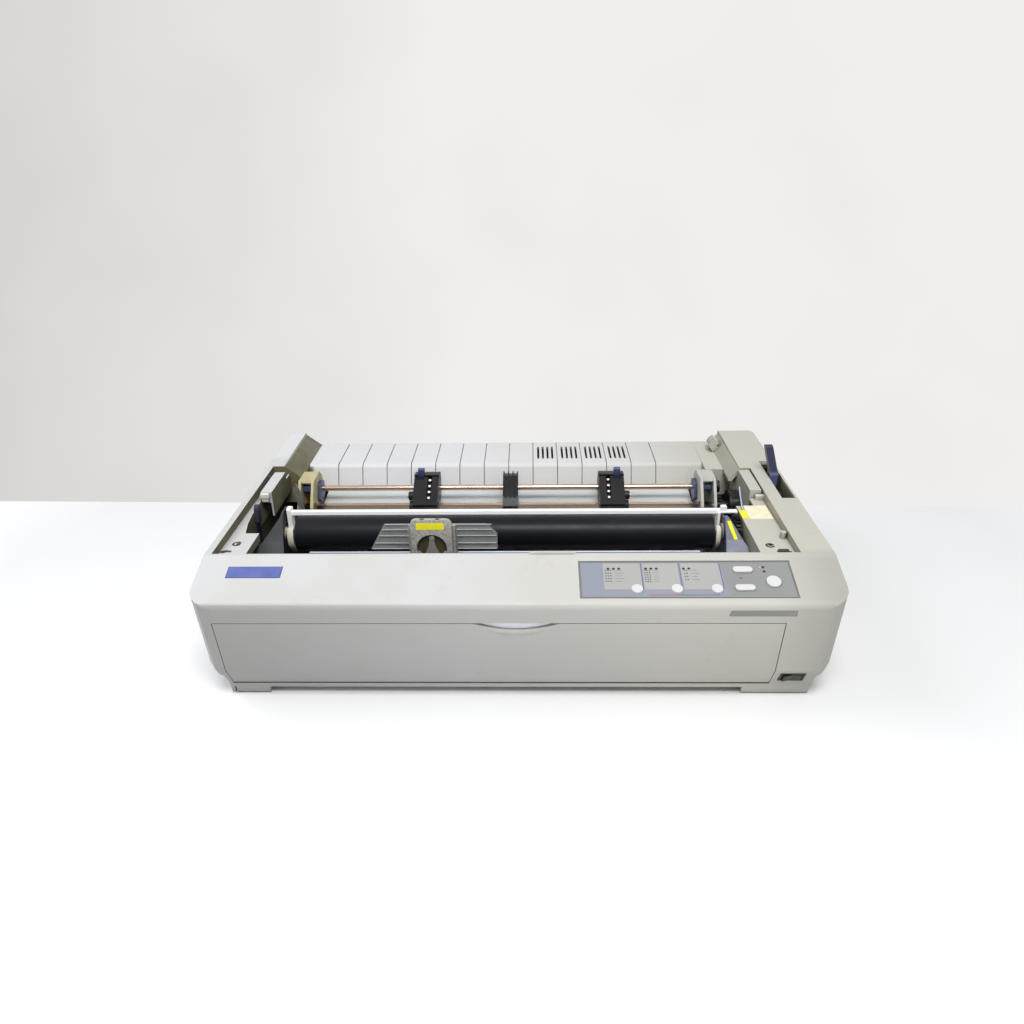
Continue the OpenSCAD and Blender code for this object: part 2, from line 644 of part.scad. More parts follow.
module round_button(p, d) color([0.9, 0.9, 0.88]) at_spot(p) {
    translate([0, 0, button_proud - cap_h]) cylinder(d = d, h = cap_h - 0.5, $fn = round_fn);
    translate([0, 0, button_proud - 0.5 - eps]) cylinder(d1 = d, d2 = d - 1, h = 0.5, $fn = round_fn);
    translate([0, 0, 0.3 - panel_board_drop + button_travel])
        cylinder(d = 3, h = panel_board_drop - 1, $fn = 24);
}
module long_button(p) color([0.9, 0.9, 0.88]) at_spot(p) {
    translate([0, 0, button_proud - cap_h]) pill(long_l, long_w, cap_h);
    translate([0, 0, 0.3 - panel_board_drop + button_travel])
        cylinder(d = 3, h = panel_board_drop - 1, $fn = 24);
}
module font_button() round_button(button_spots[0], button_d);
module pitch_button() round_button(button_spots[1], button_d);
module tear_button() round_button(button_spots[2], button_d);
module pause_button() round_button(pause_spot, pause_d);
module load_button() long_button(load_spot);
module feed_button() long_button(feed_spot);

// ---- Power switch on the front bevel ----
module power_switch() color(dark) on_bevel(switch_x) difference() {
    union() {
        translate([-rocker_w / 2 - 1, -rocker_h / 2 - 1, -11])
            cube([rocker_w + 2, rocker_h + 2, 11]);
        translate([-rocker_w / 2 - 2, -rocker_h / 2 - 2, 0])
            cube([rocker_w + 4, rocker_h + 4, 0.8]);
    }
    translate([-rocker_w / 2, -rocker_h / 2, -6]) cube([rocker_w, rocker_h, 20]);
}
module power_rocker() color([0.16, 0.16, 0.17]) on_bevel(switch_x)
    rotate([0, rocker_tilt, 0]) translate([0, rocker_h / 2 - 0.4, 0]) rotate([90, 0, 0])
    linear_extrude(rocker_h - 0.8)
    polygon(rounded([[-rocker_w / 2 + 0.8, -1.2], [0, -4.6], [rocker_w / 2 - 0.8, -1.2],
                     [rocker_w / 2 - 0.8, 2.2], [0, 0.9], [-rocker_w / 2 + 0.8, 2.2]],
                    [0, 3, 0, 1, 12, 1]));

// ---- Rear sockets ----
module power_inlet() color(dark) difference() {
    union() {
        block(inlet_x - 13.6, inlet_x + 13.6, rear_y - 22, rear_y, 21.4, 41.6);
    }
    block(inlet_x - 11, inlet_x + 11, rear_y - 16, rear_y + 1, 24.5, 38.5);
}
module interface_socket() color(zinc) difference() {
    union() {
        block(socket_x - 34.5, socket_x + 34.5, rear_y - 16, rear_y, 46.4, 61.6);
        block(socket_x - 34.5, socket_x + 34.5, rear_y - 24, rear_y - 16 + eps, board_z + 1.6, 61.6);
    }
    block(socket_x - 30, socket_x + 30, rear_y - 9, rear_y + 1, 49.5, 58.5);
}

// ---- Boards in the bottom of the case ----
module main_board() color([0.15, 0.35, 0.2]) {
    chip_y = board_y0 + 12;
    block(board_x0, board_x1, board_y0, board_y1, board_z, board_z + 1.6);
    block(board_x1 - 72, board_x1 - 44, chip_y, chip_y + 28, board_z + 1.6, board_z + 5);
    for (i = [0:1]) block(board_x0 + 32 + 30 * i, board_x0 + 52 + 30 * i, chip_y, chip_y + 30,
                          board_z + 1.6, board_z + 6);
}
module power_supply() color([0.55, 0.55, 0.45]) {
    part_y = board_y0 + 4;
    block(supply_x0, supply_x1, board_y0, board_y1, board_z, board_z + 1.6);
    block(supply_x0 + 42, supply_x0 + 92, part_y, part_y + 42, board_z + 1.6, board_z + 42);
    block(supply_x1 - 32, supply_x1 - 29, part_y, part_y + 42, board_z + 1.6, board_z + 50);
    for (i = [0:1]) rod_z(board_z + 1.6, board_z + 34, supply_x0 + 112 + 22 * i, part_y + 26, 20);
}

// ---- Frame of the mechanism ----
bush_d = 14;
foot_flange = 12;

module frame_side(top) polygon(rounded(concat(
    [[base_y0 + 2, base_z + sheet], [base_y0 + 2, 84], [-112, 92]], flange_line, top,
    [[6, 120], [22, 90], [base_y1, 90], [base_y1, base_z + sheet]]),
    concat([0, 6, 0, 0, 0, 0, 0], [for (p = top) 3], [8, 8, 4, 0])));

// Flange bent over along the front edge of a side frame; plan gives its outline from above
module frame_flange(plan) intersection() {
    along_x(-side_x, side_x) polygon(concat(flange_line, [for (i = [3:-1:0]) flange_line[i] - [0, 2.6]]));
    linear_extrude(200) polygon(plan);
}

module frame_holes() {
    translate([platen_y, platen_z]) circle(d = bush_d, $fn = round_fn);
    translate([rail_y, rail_z]) circle(d = rail_d, $fn = round_fn);
}
module side_frame_left() color(zinc) {
    along_x(frame_x0, frame_x0 + sheet) difference() {
        frame_side([[-34, 142], [-18, 142], [-8, 134]]);
        frame_holes();
    }
    block(frame_x0 + sheet - eps, frame_x0 + foot_flange, base_y0 + 12, base_y1 - 6, base_z + sheet,
          base_z + 2 * sheet);
    translate([frame_x0, 0, 0]) frame_flange([[-26, -103], [-26, -86], [-11, -74], [0, -40],
        [sheet, -40], [13, -83], [13, -103]]);
    block(bracket_l, bracket_l + bracket_w, 46, base_y1, 90 - sheet, 90);
    rod_x(frame_x0 + sheet - eps, bail_l + arm_l + 1, bail_pin_y, bail_pin_z, 4);
    // pin of the thickness lever
    rod_x(side_lever_x - 1, frame_x0 + eps, side_lever_y, side_lever_z, 6);
}
module side_frame_right() color(zinc) {
    along_x(frame_x1, frame_x1 + sheet) difference() {
        frame_side([[-36, 133.2], [-12, 133.2]]);
        frame_holes();
    }
    block(frame_x1 - foot_flange, frame_x1 + eps, base_y0 + 12, base_y1 - 6, base_z + sheet,
          base_z + 2 * sheet);
    translate([frame_x1, 0, 0]) frame_flange([[-8, -103], [-6, -85], [0, -40], [sheet, -40],
        [sheet + 3, -47], [sheet + 11, -74], [ledge_r - 0.6 - frame_x1, -82],
        [ledge_r - 0.6 - frame_x1, -103]]);
    block(bracket_r, bracket_r + bracket_w, 46, base_y1, 90 - sheet, 90);
    rod_x(frame_x1 - 5.5, frame_x1 + eps, bail_pin_y, bail_pin_z, 4);
    // pins of the idler gears
    for (c = [first_c, second_c]) {
        rod_x(frame_x1 + sheet - eps, plate_x + 1, c[0], c[1], 4);
        rod_x(frame_x1 + sheet - eps, gear_x - 0.4, c[0], c[1], 8);
    }
}
module base_plate() color(zinc) difference() {
    union() {
        block(frame_x0, frame_x1 + sheet, base_y0, base_y1, base_z, base_z + sheet);
        block(belt_x0 + 26, frame_x1 + sheet, base_y0, base_y0 + 2, base_z - 10, base_z + eps);
        block(frame_x0, frame_x1 + sheet, base_y1 - 2, base_y1, base_z - 10, base_z + eps);
        // rail along which the carriage's shoe slides
        along_x(frame_x0 + sheet + clear, frame_x1 - clear) polygon([[-128, base_z + eps],
            [-128, 84], [-112, 84], [-112, 82], [-126, 82], [-126, base_z + eps]]);
    }
    for (p = base_posts) rod_z(base_z - 1, base_z + sheet + 1, p[0], p[1], screw_d);
    rod_z(base_z - 1, base_z + sheet + 1, belt_x0, belt_y, 16);
}

// ---- Carriage drive ----
belt_y = -116;
belt_z = 66;
belt_h = 6;
belt_t = 1.4;
pulley_r = 8;
belt_x0 = frame_x0 + 22;
belt_x1 = frame_x1 - 20;

module carriage_shaft() color(steel)
    rod_x(frame_x0 - 3, frame_x1 + sheet + 3, rail_y, rail_z, rail_d - 2 * run);

module timing_belt() color(dark) translate([0, 0, belt_z]) linear_extrude(belt_h) difference() {
    belt_loop(pulley_r + belt_t);
    belt_loop(pulley_r);
}
module belt_loop(r) {
    translate([belt_x0, belt_y]) circle(r = r, $fn = round_fn);
    translate([belt_x1, belt_y]) circle(r = r, $fn = round_fn);
    translate([belt_x0, belt_y - r]) square([belt_x1 - belt_x0, 2 * r]);
}
module drive_pulley() color([0.8, 0.8, 0.78]) pulley(belt_x0, 5);
module idler_pulley() color([0.8, 0.8, 0.78]) pulley(belt_x1, 5 + 2 * run);
module pulley(x, bore) difference() {
    union() {
        rod_z(belt_z - 2.5, belt_z - 0.5, x, belt_y, 2 * pulley_r + 3);
        rod_z(belt_z - 0.5 - eps, belt_z + belt_h + 0.5 + eps, x, belt_y, 2 * pulley_r - 0.1);
        rod_z(belt_z + belt_h + 0.5, belt_z + belt_h + 2.5, x, belt_y, 2 * pulley_r + 3);
    }
    rod_z(belt_z - 5, belt_z + belt_h + 5, x, belt_y, bore);
}
module carriage_motor() color(zinc) {
    rod_z(base_z - 32, base_z, belt_x0, belt_y, 38);
    rod_z(base_z - eps, base_z + 6, belt_x0, belt_y, 12);
    rod_z(base_z, belt_z + belt_h + 2.5, belt_x0, belt_y, 5);
    // idler post at the far end of the belt
    rod_z(base_z + sheet, belt_z - 2.8, belt_x1, belt_y, 12);
    rod_z(base_z + sheet, belt_z + belt_h + 4, belt_x1, belt_y, 5);
}

// ---- Carriage with print head and ribbon mask ----
car_w = 58;
guide_y = -62;
head_y0 = -101;
head_y1 = -72;
head_z0 = 98;
mask_y = platen_y - platen_r - 3.4;
mask_t = 1;

module carriage() color(dark) difference() {
    union() {
        block(head_x - car_w / 2, head_x + car_w / 2, -104, guide_y - 3, rail_z - 12, 96);
        // shoe round the front rail
        block(head_x - 22, head_x + 22, -119, -104 + eps, 84.4, 92);
        block(head_x - 22, head_x + 22, -119, -104 + eps, 76, 81.6);
        block(head_x - 22, head_x + 22, -110.6, -104 + eps, 76, 92);
        // belt clamp
        block(head_x - 12, head_x + 12, belt_y + pulley_r + belt_t + 0.3, -104 + eps,
              belt_z - 3, belt_z + belt_h + 12);
        block(head_x - 12, head_x + 12, belt_y + 3, belt_y + pulley_r - 0.3, belt_z - 3, belt_z + belt_h + 3);
        block(head_x - 12, head_x + 12, belt_y + 3, -104 + eps, belt_z + belt_h + 0.5, belt_z + belt_h + 3.5);
    }
    rod_x(head_x - car_w, head_x + car_w, rail_y, rail_z, rail_d);
    block(head_x - 15, head_x + 15, -100.4, -73.6, 90, 100);
}

module print_head() color([0.62, 0.62, 0.60]) difference() {
    union() {
        // cast body with cooling fins at its sides
        along_y(head_y0, head_y1) polygon(rounded(
            [[head_x - head_w / 2, head_z0], [head_x - head_w / 2, head_top],
             [head_x + head_w / 2, head_top], [head_x + head_w / 2, head_z0]],
            [3, 7, 7, 3]));
        for (i = [0:5]) block(head_x - head_w / 2 - 3.5, head_x + head_w / 2 + 3.5,
            head_y0 + 4.5 + i * 4.4, head_y0 + 6.3 + i * 4.4, head_z0 + 6, head_top - 12);
        // nose that holds the wires
        along_y(head_y1 - eps, mask_y - 1.4) polygon(rounded(
            [[head_x - 9, platen_z - 8], [head_x - 7, platen_z + 10], [head_x + 7, platen_z + 10],
             [head_x + 9, platen_z - 8]], [2, 3, 3, 2]));
        block(head_x - 14.6, head_x + 14.6, -100, -74, 90, head_z0 + eps);
    }
    // round well in the rear of the head, with a three-armed spider left standing
    difference() {
        rod_y(head_y0 - 1, head_y0 + 6, head_x, head_top - 29, 32);
        rod_y(head_y0 - 1, head_y0 + 6, head_x, head_top - 29, 9);
        for (a = [90, 210, 330]) translate([head_x, head_y0 + 1.5, head_top - 29])
            rotate([0, -a, 0]) translate([0, 0, -2.5]) cube([20, 8, 5]);
    }
}

module ribbon_mask() color([0.85, 0.87, 0.86]) difference() {
    union() {
        along_y(mask_y, mask_y + mask_t) polygon([
            [head_x - mask_w / 2 - 3, 107.5], [head_x - mask_w / 2 + 14, 138.5],
            [head_x + mask_w / 2 - 16, 138.5], [head_x + mask_w / 2 - 4, 127],
            [head_x + mask_w / 2 - 4, 107.5]]);
        for (z = [107.5, 114.5, 123.5, 131, 137.3])
            block(head_x - mask_w / 2 + (z - 107.5) * 0.55 - 1, head_x + mask_w / 2 - (z > 125 ? 10 : 5),
                  mask_y - 1, mask_y + eps, z, z + 1.2);
        // tabs that hold the mask to the head
        for (s = [-1, 1]) block(head_x + s * 15 - 4, head_x + s * 15 + 4, head_y1, mask_y + eps, 108.2, 109.8);
    }
    block(head_x - 7.4, head_x + 7.4, mask_y - 4, mask_y + 5, platen_z - 6, platen_z + 6);
}

// ---- Platen and its gear train ----
gear_x = bracket_r + bracket_w + 1.2;
gear_w = 5;
pitch_platen = platen_teeth * gear_m / 2;
pitch_idler = idler_teeth * gear_m / 2;
pitch_tractor = tractor_teeth * gear_m / 2;
pitch_pinion = pinion_teeth * gear_m / 2;

// Third corner of a triangle on a, b with sides ra and rb, below the line
function meet(a, b, ra, rb) =
    let (d = norm(b - a), u = (b - a) / d, s = (d * d + ra * ra - rb * rb) / (2 * d),
         h = sqrt(max(ra * ra - s * s, 0)))
    a + u * s + [u[1], -u[0]] * h;
function heading(a, b) = atan2(b[1] - a[1], b[0] - a[0]);
// Phase of gear b so that its gaps face the teeth of gear a
function mesh(na, pa, nb, dir) = dir + 180 - (0.5 - (dir - pa) * na / 360) * 360 / nb;

platen_c = [platen_y, platen_z];
drive_c = [drive_y, drive_z];
first_c = platen_c + (pitch_platen + pitch_idler) * [cos(-40), sin(-40)];
second_c = meet(first_c, drive_c, 2 * pitch_idler, pitch_idler + pitch_tractor);
pinion_c = first_c + (pitch_idler + pitch_pinion) * [cos(-80), sin(-80)];
first_ph = mesh(platen_teeth, 0, idler_teeth, heading(platen_c, first_c));
second_ph = mesh(idler_teeth, first_ph, idler_teeth, heading(first_c, second_c));
tractor_ph = mesh(idler_teeth, second_ph, tractor_teeth, heading(second_c, drive_c));
pinion_ph = mesh(idler_teeth, first_ph, pinion_teeth, heading(first_c, pinion_c));

module gear_outline(n, phase) {
    r = n * gear_m / 2;
    step = 360 / n;
    polygon([for (i = [0:n - 1]) each [
        for (k = [[-0.30, -1.25], [-0.12, 0.8], [0.12, 0.8], [0.30, -1.25]])
            (r + k[1] * gear_m) * [cos(phase + (i + k[0]) * step), sin(phase + (i + k[0]) * step)]]]);
}
module gear(c, n, phase, bore) difference() {
    along_x(gear_x, gear_x + gear_w) translate(c) gear_outline(n, phase);
    rod_x(gear_x - 1, gear_x + gear_w + 1, c[0], c[1], bore);
}

module platen() color(dark) difference() {
    rod_x(platen_x0, platen_x1, platen_y, platen_z, platen_d);
    rod_x(platen_x0 - 1, platen_x1 + 1, platen_y, platen_z, platen_shaft_d);
}
module platen_shaft() color(steel)
    rod_x(frame_x0 - 4, side_x - knob_dish + 6, platen_y, platen_z, platen_shaft_d);
// Cream hook in front of the platen's end, on a neck from the bush
module cradle(x0, x1, neck0, neck1) {
    rod_x(neck0, neck1, platen_y, platen_z, platen_shaft_d + 3);
    intersection() {
        along_x(x0, x1) translate([platen_y, platen_z]) difference() {
            circle(r = platen_r - 1.5, $fn = 64);
            circle(r = platen_r - 6, $fn = 64);
        }
        block(x0, x1, platen_y - 40, platen_y - 8, platen_z - 16, platen_z + 12);
    }
    block(x0, x1, platen_y - platen_r + 3, platen_y, platen_z - 2.5, platen_z + 2.5);
}
module platen_bushes() color([0.9, 0.9, 0.86])
    for (x = [frame_x0, frame_x1]) difference() {
        union() {
            rod_x(x - 1.5, x + sheet + 1.5, platen_y, platen_z, bush_d);
            rod_x(x - 1.5, x, platen_y, platen_z, bush_d + 5);
            cradle(x < 0 ? platen_x0 - 8.4 : platen_x1 + 1.8, x < 0 ? platen_x0 - 2 : platen_x1 + 6.6,
                   x < 0 ? x : platen_x1 + 1.8, x < 0 ? platen_x0 - 2 : x + sheet);
        }
        rod_x(x - 20, x + 20, platen_y, platen_z, platen_shaft_d + 2 * run);
    }
module platen_gear() color([0.85, 0.85, 0.8]) {
    gear(platen_c, platen_teeth, 0, platen_shaft_d);
}
module platen_knob() color([0.15, 0.15, 0.16]) difference() {
    union() {
        rod_x(side_x - knob_dish + 1, side_x + knob_out - 1.5, platen_y, platen_z, knob_d);
        rod_x(side_x + knob_out - 1.5 - eps, side_x + knob_out, platen_y, platen_z, knob_d - 3);
    }
    for (i = [0:23]) translate([0, platen_y, platen_z]) rotate([i * 15, 0, 0])
        translate([0, -platen_y, -platen_z]) rod_x(side_x - knob_dish + 3, side_x + knob_out + 1,
            platen_y, platen_z + knob_d / 2 + 0.6, 3);
    rod_x(side_x - knob_dish - 1, side_x - knob_dish + 6, platen_y, platen_z, platen_shaft_d);
}

module idler_gear_front() color([0.85, 0.85, 0.8]) gear(first_c, idler_teeth, first_ph, 4 + 2 * run);
module idler_gear_rear() color([0.85, 0.85, 0.8]) gear(second_c, idler_teeth, second_ph, 4 + 2 * run);
module motor_pinion() color([0.75, 0.65, 0.4]) gear(pinion_c, pinion_teeth, pinion_ph, 4);
plate_x = gear_x + gear_w + 3;

plate_posts = [[pinion_c[0] - 18, 62], [pinion_c[0] + 24, 62]];
module motor_plate() color(zinc) difference() {
    union() {
        along_x(plate_x, plate_x + sheet) polygon(rounded(
            [[pinion_c[0] - 25, 55], [pinion_c[0] - 25, 78], [first_c[0] - 9, first_c[1] + 9],
             [second_c[0] + 9, second_c[1] + 9], [pinion_c[0] + 31, 55]],
            [5, 8, 5, 5, 5]));
        for (p = plate_posts) rod_x(frame_x1 + sheet, plate_x + eps, p[0], p[1], 7);
    }
    rod_x(plate_x - 1, plate_x + 5, pinion_c[0], pinion_c[1], 12);
    for (c = [first_c, second_c]) rod_x(plate_x - 1, plate_x + 5, c[0], c[1], 4);
}
module feed_motor() color(zinc) {
    rod_x(plate_x + sheet, plate_x + sheet + 34, pinion_c[0], pinion_c[1], 40);
    rod_x(plate_x - 2, plate_x + sheet + eps, pinion_c[0], pinion_c[1], 11.6);
    rod_x(gear_x, plate_x, pinion_c[0], pinion_c[1], 4 - 2 * run);
}

// ---- Tractor unit ----

// Side outline of a tractor, in (y, z)
function tractor_side(g = 0) = rounded(
    [[40 - g, 99 - g], [40 - g, 111], [50, 121 + g], [78, 138 + g], [95 + g, 136 + g],
     [99 + g, 122], [92 + g, 108 - g], [64, 96 - g]],
    [5, 5, 8, 6, 6, 6, 8, 6]);
module shaft_holes(x0, x1, d) {
    rod_x(x0, x1, support_y, support_z, support_d + 2 * run);
    rod_x(x0, x1, drive_y, drive_z, d);
}
// Square on the drive shaft's axis
module drive_square(x0, x1, side) along_x(x0, x1)
    translate([drive_y - side / 2, drive_z - side / 2]) square(side);

module tractor_drive_shaft() color(steel) {
    drive_square(bracket_l + bracket_t + 1, bracket_r + bracket_w - bracket_t - 1, drive_side);
    rod_x(bracket_l - 3, bracket_l + bracket_t + 1 + eps, drive_y, drive_z, 5);
    rod_x(bracket_r + bracket_w - bracket_t - 1 - eps, drum_x + 12.5, drive_y, drive_z, 5);
}
drum_x = plate_x + sheet + 2.8;
drum_d = 37;
module tractor_gear() color(dark) difference() {
    union() {
        along_x(gear_x, gear_x + gear_w) translate(drive_c) gear_outline(tractor_teeth, tractor_ph);
        rod_x(gear_x + gear_w - eps, drum_x, drive_y, drive_z, 10);
        rod_x(drum_x - eps, drum_x + 11.5, drive_y, drive_z, drum_d);
        rod_x(drum_x + 1, drum_x + 13.5, drive_y, drive_z, 16);
    }
    rod_x(gear_x - 1, drum_x + 20, drive_y, drive_z, 5.1);
    for (i = [0:17]) translate([0, drive_y, drive_z]) rotate([i * 20, 0, 0])
        rod_x(drum_x + 3, drum_x + 12, 0, drum_d / 2 + 0.3, 2.4);
}
module tractor_support_shaft() color(steel)
    rod_x(bracket_l - 2, bracket_r + bracket_w + 11, support_y, support_z, support_d);
module support_shaft_wheel() color(dark) difference() {
    union() {
        rod_x(bracket_r + bracket_w + 2.5, bracket_r + bracket_w + 6, support_y, support_z, 23);
        rod_x(bracket_r + bracket_w + 6 - eps, bracket_r + bracket_w + 10, support_y, support_z, 15);
    }
    rod_x(bracket_r, bracket_r + bracket_w + 20, support_y, support_z, support_d + 2 * run);
}

module bracket(x0, flip) difference() {
    union() {
        for (x = [x0, x0 + bracket_w - bracket_t]) along_x(x, x + bracket_t) polygon(rounded(
            [[44, 90], [40, 110], [60, 138.5], [90, 138.5], [99, 130], [102, 116], [98, 90]],
            [0, 6, 4, 6, 6, 8, 0]));
        along_x(x0, x0 + bracket_w) polygon([[62, 138.5], [89, 138.5], [89, 135.3], [60, 135.3]]);
        along_x(x0, x0 + bracket_w) rect_x(46, 98, 90, 92.5);
    }
    shaft_holes(x0 - 5, x0 + bracket_w + 5, 5 + 2 * run);
    rod_x(flip ? x0 - 5 : x0 + 10, flip ? x0 + 10 : x0 + bracket_w + 5, support_y, support_z,
          hub_d + 2 * run);
    rod_x(flip ? x0 - 5 : x0 + bracket_t + 0.5, flip ? x0 + bracket_w - bracket_t - 0.5 : x0 + 40,
          drive_y, drive_z, drive_room);
}
module tractor_bracket_left() color([0.83, 0.82, 0.72]) bracket(bracket_l, false);
module tractor_bracket_right() color([0.83, 0.82, 0.78]) bracket(bracket_r, true);

// Blue tab inside a bracket; its hub passes through the bracket to an arm on the inner side
module bracket_tab(x0, flip) color(blue) difference() {
    arm_x = flip ? x0 - clear - arm_w : x0 + bracket_w + clear;
    union() {
        along_x(arm_x, arm_x + arm_w) translate([support_y, support_z]) polygon(rounded(
            [[-7, 10], [7, 10], [8, -7], [-10, -15], [-17, -9]], [5, 5, 5, 3, 3]));
        rod_x(flip ? arm_x : x0 + 8, flip ? x0 + 8 : arm_x + arm_w, support_y, support_z, hub_d);
        rod_x(x0 + bracket_t + clear, x0 + bracket_w - bracket_t - clear, support_y, support_z, support_d + 6);
        along_x(x0 + bracket_t + clear, x0 + bracket_w - bracket_t - clear) polygon(rounded(
            [[support_y - 7, support_z - 1], [support_y - 22, support_z + 4],
             [support_y - 19, support_z + 13], [support_y - 2, support_z + 7]], [0, 3, 3, 0]));
    }
    rod_x(x0 - 10, x0 + bracket_w + 10, support_y, support_z, support_d + 2 * run);
}
module bracket_tab_left() bracket_tab(bracket_l, false);
module bracket_tab_right() bracket_tab(bracket_r, true);

lock_w = 8;
lock_in = 4;
flap_t = 4;
flap_drop = 0.3;
pin_d = 3.6;
pin_step = 12.7;

// Frame of reference of a tractor's top face: origin at its front upper corner, +Y along it
module on_tractor(x) translate([x, 50, 121]) rotate([atan2(17, 28), 0, 0]) children();

// One tractor: x is its outer edge, s is +1 when the flap opens to the left
module tractor_body(x, s) {
    x0 = s > 0 ? x : x - tractor_w;
    lock_x = s > 0 ? x0 + lock_in : x0 + tractor_w - lock_in - lock_w;
    pin_x = s > 0 ? x0 + tractor_w - 11 : x0 + 11;
    difference() {
        union() {
            along_x(x0, x0 + tractor_w) polygon(tractor_side());
            rod_x(s > 0 ? x0 - 4 : x0 + tractor_w - eps, s > 0 ? x0 + eps : x0 + tractor_w + 4,
                  drive_y, drive_z, drive_room + 4);
        }
        shaft_holes(x0 - 9, x0 + tractor_w + 9, drive_room);
        // room for the lock lever
        along_x(lock_x - clear, lock_x + lock_w + clear) polygon([[75.6, 110], [74, 150], [112, 150],
            [112, 104], [76, 104]]);
        // seat of the flap
        on_tractor(x0) translate([-1, -16, -flap_t - flap_drop]) cube([tractor_w + 2, 48, 20]);
        // channel of the pin belt
        on_tractor(pin_x) translate([-4, -8, -8]) cube([8, 40, 20]);
    }
    // pins of the feed belt
    on_tractor(pin_x) {
        translate([-3, -7, -8 - eps]) cube([6, 38, 2.5]);
        for (i = [0:pins - 1]) translate([0, -1 + i * 8.8, -6]) cylinder(d = pin_d, h = 4.6, $fn = 24);
    }
}
module tractor_flap(x, s) {
    x0 = s > 0 ? x : x - tractor_w;
    pin_x = s > 0 ? x0 + tractor_w - 11 : x0 + 11;
    lock_x = s > 0 ? x0 + lock_in : x0 + tractor_w - lock_in - lock_w;
    difference() {
        on_tractor(x0) translate([0.5, -12, -flap_t]) cube([tractor_w - 1, 42, flap_t]);
        on_tractor(pin_x) translate([0, 13, -flap_t - 1]) rotate([0, 0, 90]) pill(36, pin_d + 2, 9);
        along_x(lock_x - clear - 1, lock_x + lock_w + clear + 1) polygon([[72, 120], [72, 150], [110, 150], [110, 120]]);
    }
}
module lock_lever(x, s) {
    x0 = s > 0 ? x : x - tractor_w;
    lock_x = s > 0 ? x0 + lock_in : x0 + tractor_w - lock_in - lock_w;
    difference() {
        union() {
            rod_x(lock_x, lock_x + lock_w, support_y, support_z, support_d + 5);
            along_x(lock_x, lock_x + lock_w) polygon(rounded(
                [[support_y - 2, support_z], [support_y + 1, support_z + 25],
                 [support_y + 7, support_z + 25], [support_y + 6, support_z]], [0, 2, 2, 0]));
        }
        rod_x(lock_x - 1, lock_x + lock_w + 1, support_y, support_z, support_d + 2 * run);
    }
}
module tractor_left() color(dark) tractor_body(tractor_l, 1);
module tractor_right() color(dark) tractor_body(tractor_r, -1);
module tractor_flap_left() color(dark) tractor_flap(tractor_l, 1);
module tractor_flap_right() color(dark) tractor_flap(tractor_r, -1);
module tractor_lock_left() color(blue) lock_lever(tractor_l, 1);
module tractor_lock_right() color(blue) lock_lever(tractor_r, -1);

module centre_support() color(dark) difference() {
    union() {
        along_x(centre_x, centre_x + centre_w) polygon(tractor_side(-2));
        for (i = [0:3]) along_x(centre_x + i * (centre_w - 1.6) / 3, centre_x + 1.6 + i * (centre_w - 1.6) / 3)
            polygon(tractor_side());
    }
    shaft_holes(centre_x - 5, centre_x + centre_w + 5, drive_room);
}

// ---- Paper guides and bail ----
module rear_paper_guide() color([0.78, 0.79, 0.76]) {
    along_x(bracket_l + bracket_w + 3, bracket_r - 3) polygon([[deck_foot_y - 1, deck_foot_z - 2],
        [30, 91], [-8, 86], [-8, 84.4], [30, 89.2], [deck_foot_y - 1, deck_foot_z - 4]]);
    // legs down to the base plate
    for (x = [-200, -20, 160]) block(x, x + 12, 29, 31, base_z + sheet, 90);
}
module front_paper_guide() color([0.66, 0.69, 0.74]) difference() {
    union() {
        along_x(platen_x0 + 18, platen_x1 - 17) polygon([[guide_y, base_z + sheet], [guide_y, 102],
            [guide_y - 3, 106.5], [guide_y - 1.6, 107.4], [guide_y + 1.6, 102.6],
            [guide_y + 1.6, base_z + sheet]]);
        along_x(frame_x0 + sheet, frame_x1) rect_x(guide_y, guide_y + 1.6, base_z + sheet, 98);
    }
    for (x = [platen_x0 + 32, platen_x1 - 32]) rod_y(guide_y - 5, guide_y + 5, x, 99.6, 4);
    for (x = [frame_x0, frame_x1 - foot_flange - clear])
        block(x, x + foot_flange + sheet + clear, guide_y - 1, guide_y + 3, 0, base_z + 2 * sheet + clear);
    block(frame_x0 + 34, frame_x1 - 21, guide_y - 1, guide_y + 3, slot_lo, slot_hi);
}

bail_y = -24;
bail_z = 136.5;
bail_l = frame_x0 + sheet + 1.8;
bail_r = frame_x1 - 5;
arm_l = 5;
arm_r = 3;
module bail() color([0.86, 0.87, 0.88]) {
    translate([0, bail_y, bail_z]) rotate([-30, 0, 0])
        block(bail_l, bail_r + arm_r, -4, 4, -1.5, 1.5);
    for (a = [[bail_l, arm_l, 143], [bail_r, arm_r, 137.5]]) difference() {
        along_x(a[0], a[0] + a[1]) polygon(rounded(
            [[bail_y - 5, a[2]], [bail_y + 5, a[2]], [bail_y + 5, bail_pin_z - 4],
             [bail_y - 5, bail_pin_z - 4]], [2, 2, 4.5, 4.5]));
        rod_x(a[0] - 1, a[0] + a[1] + 1, bail_pin_y, bail_pin_z, 4 + 2 * run);
    }
    // thin strip that carries the bar on over the right frame, with a small block on it
    block(bail_r + arm_r - eps, ledge_r - 2, bail_y - 4, bail_y + 3, 135.4, 136.8);
    block(bail_r + arm_r + 0.5, bail_r + arm_r + 7, bail_y - 3, bail_y + 3, 136.8 - eps, 142.5);
}

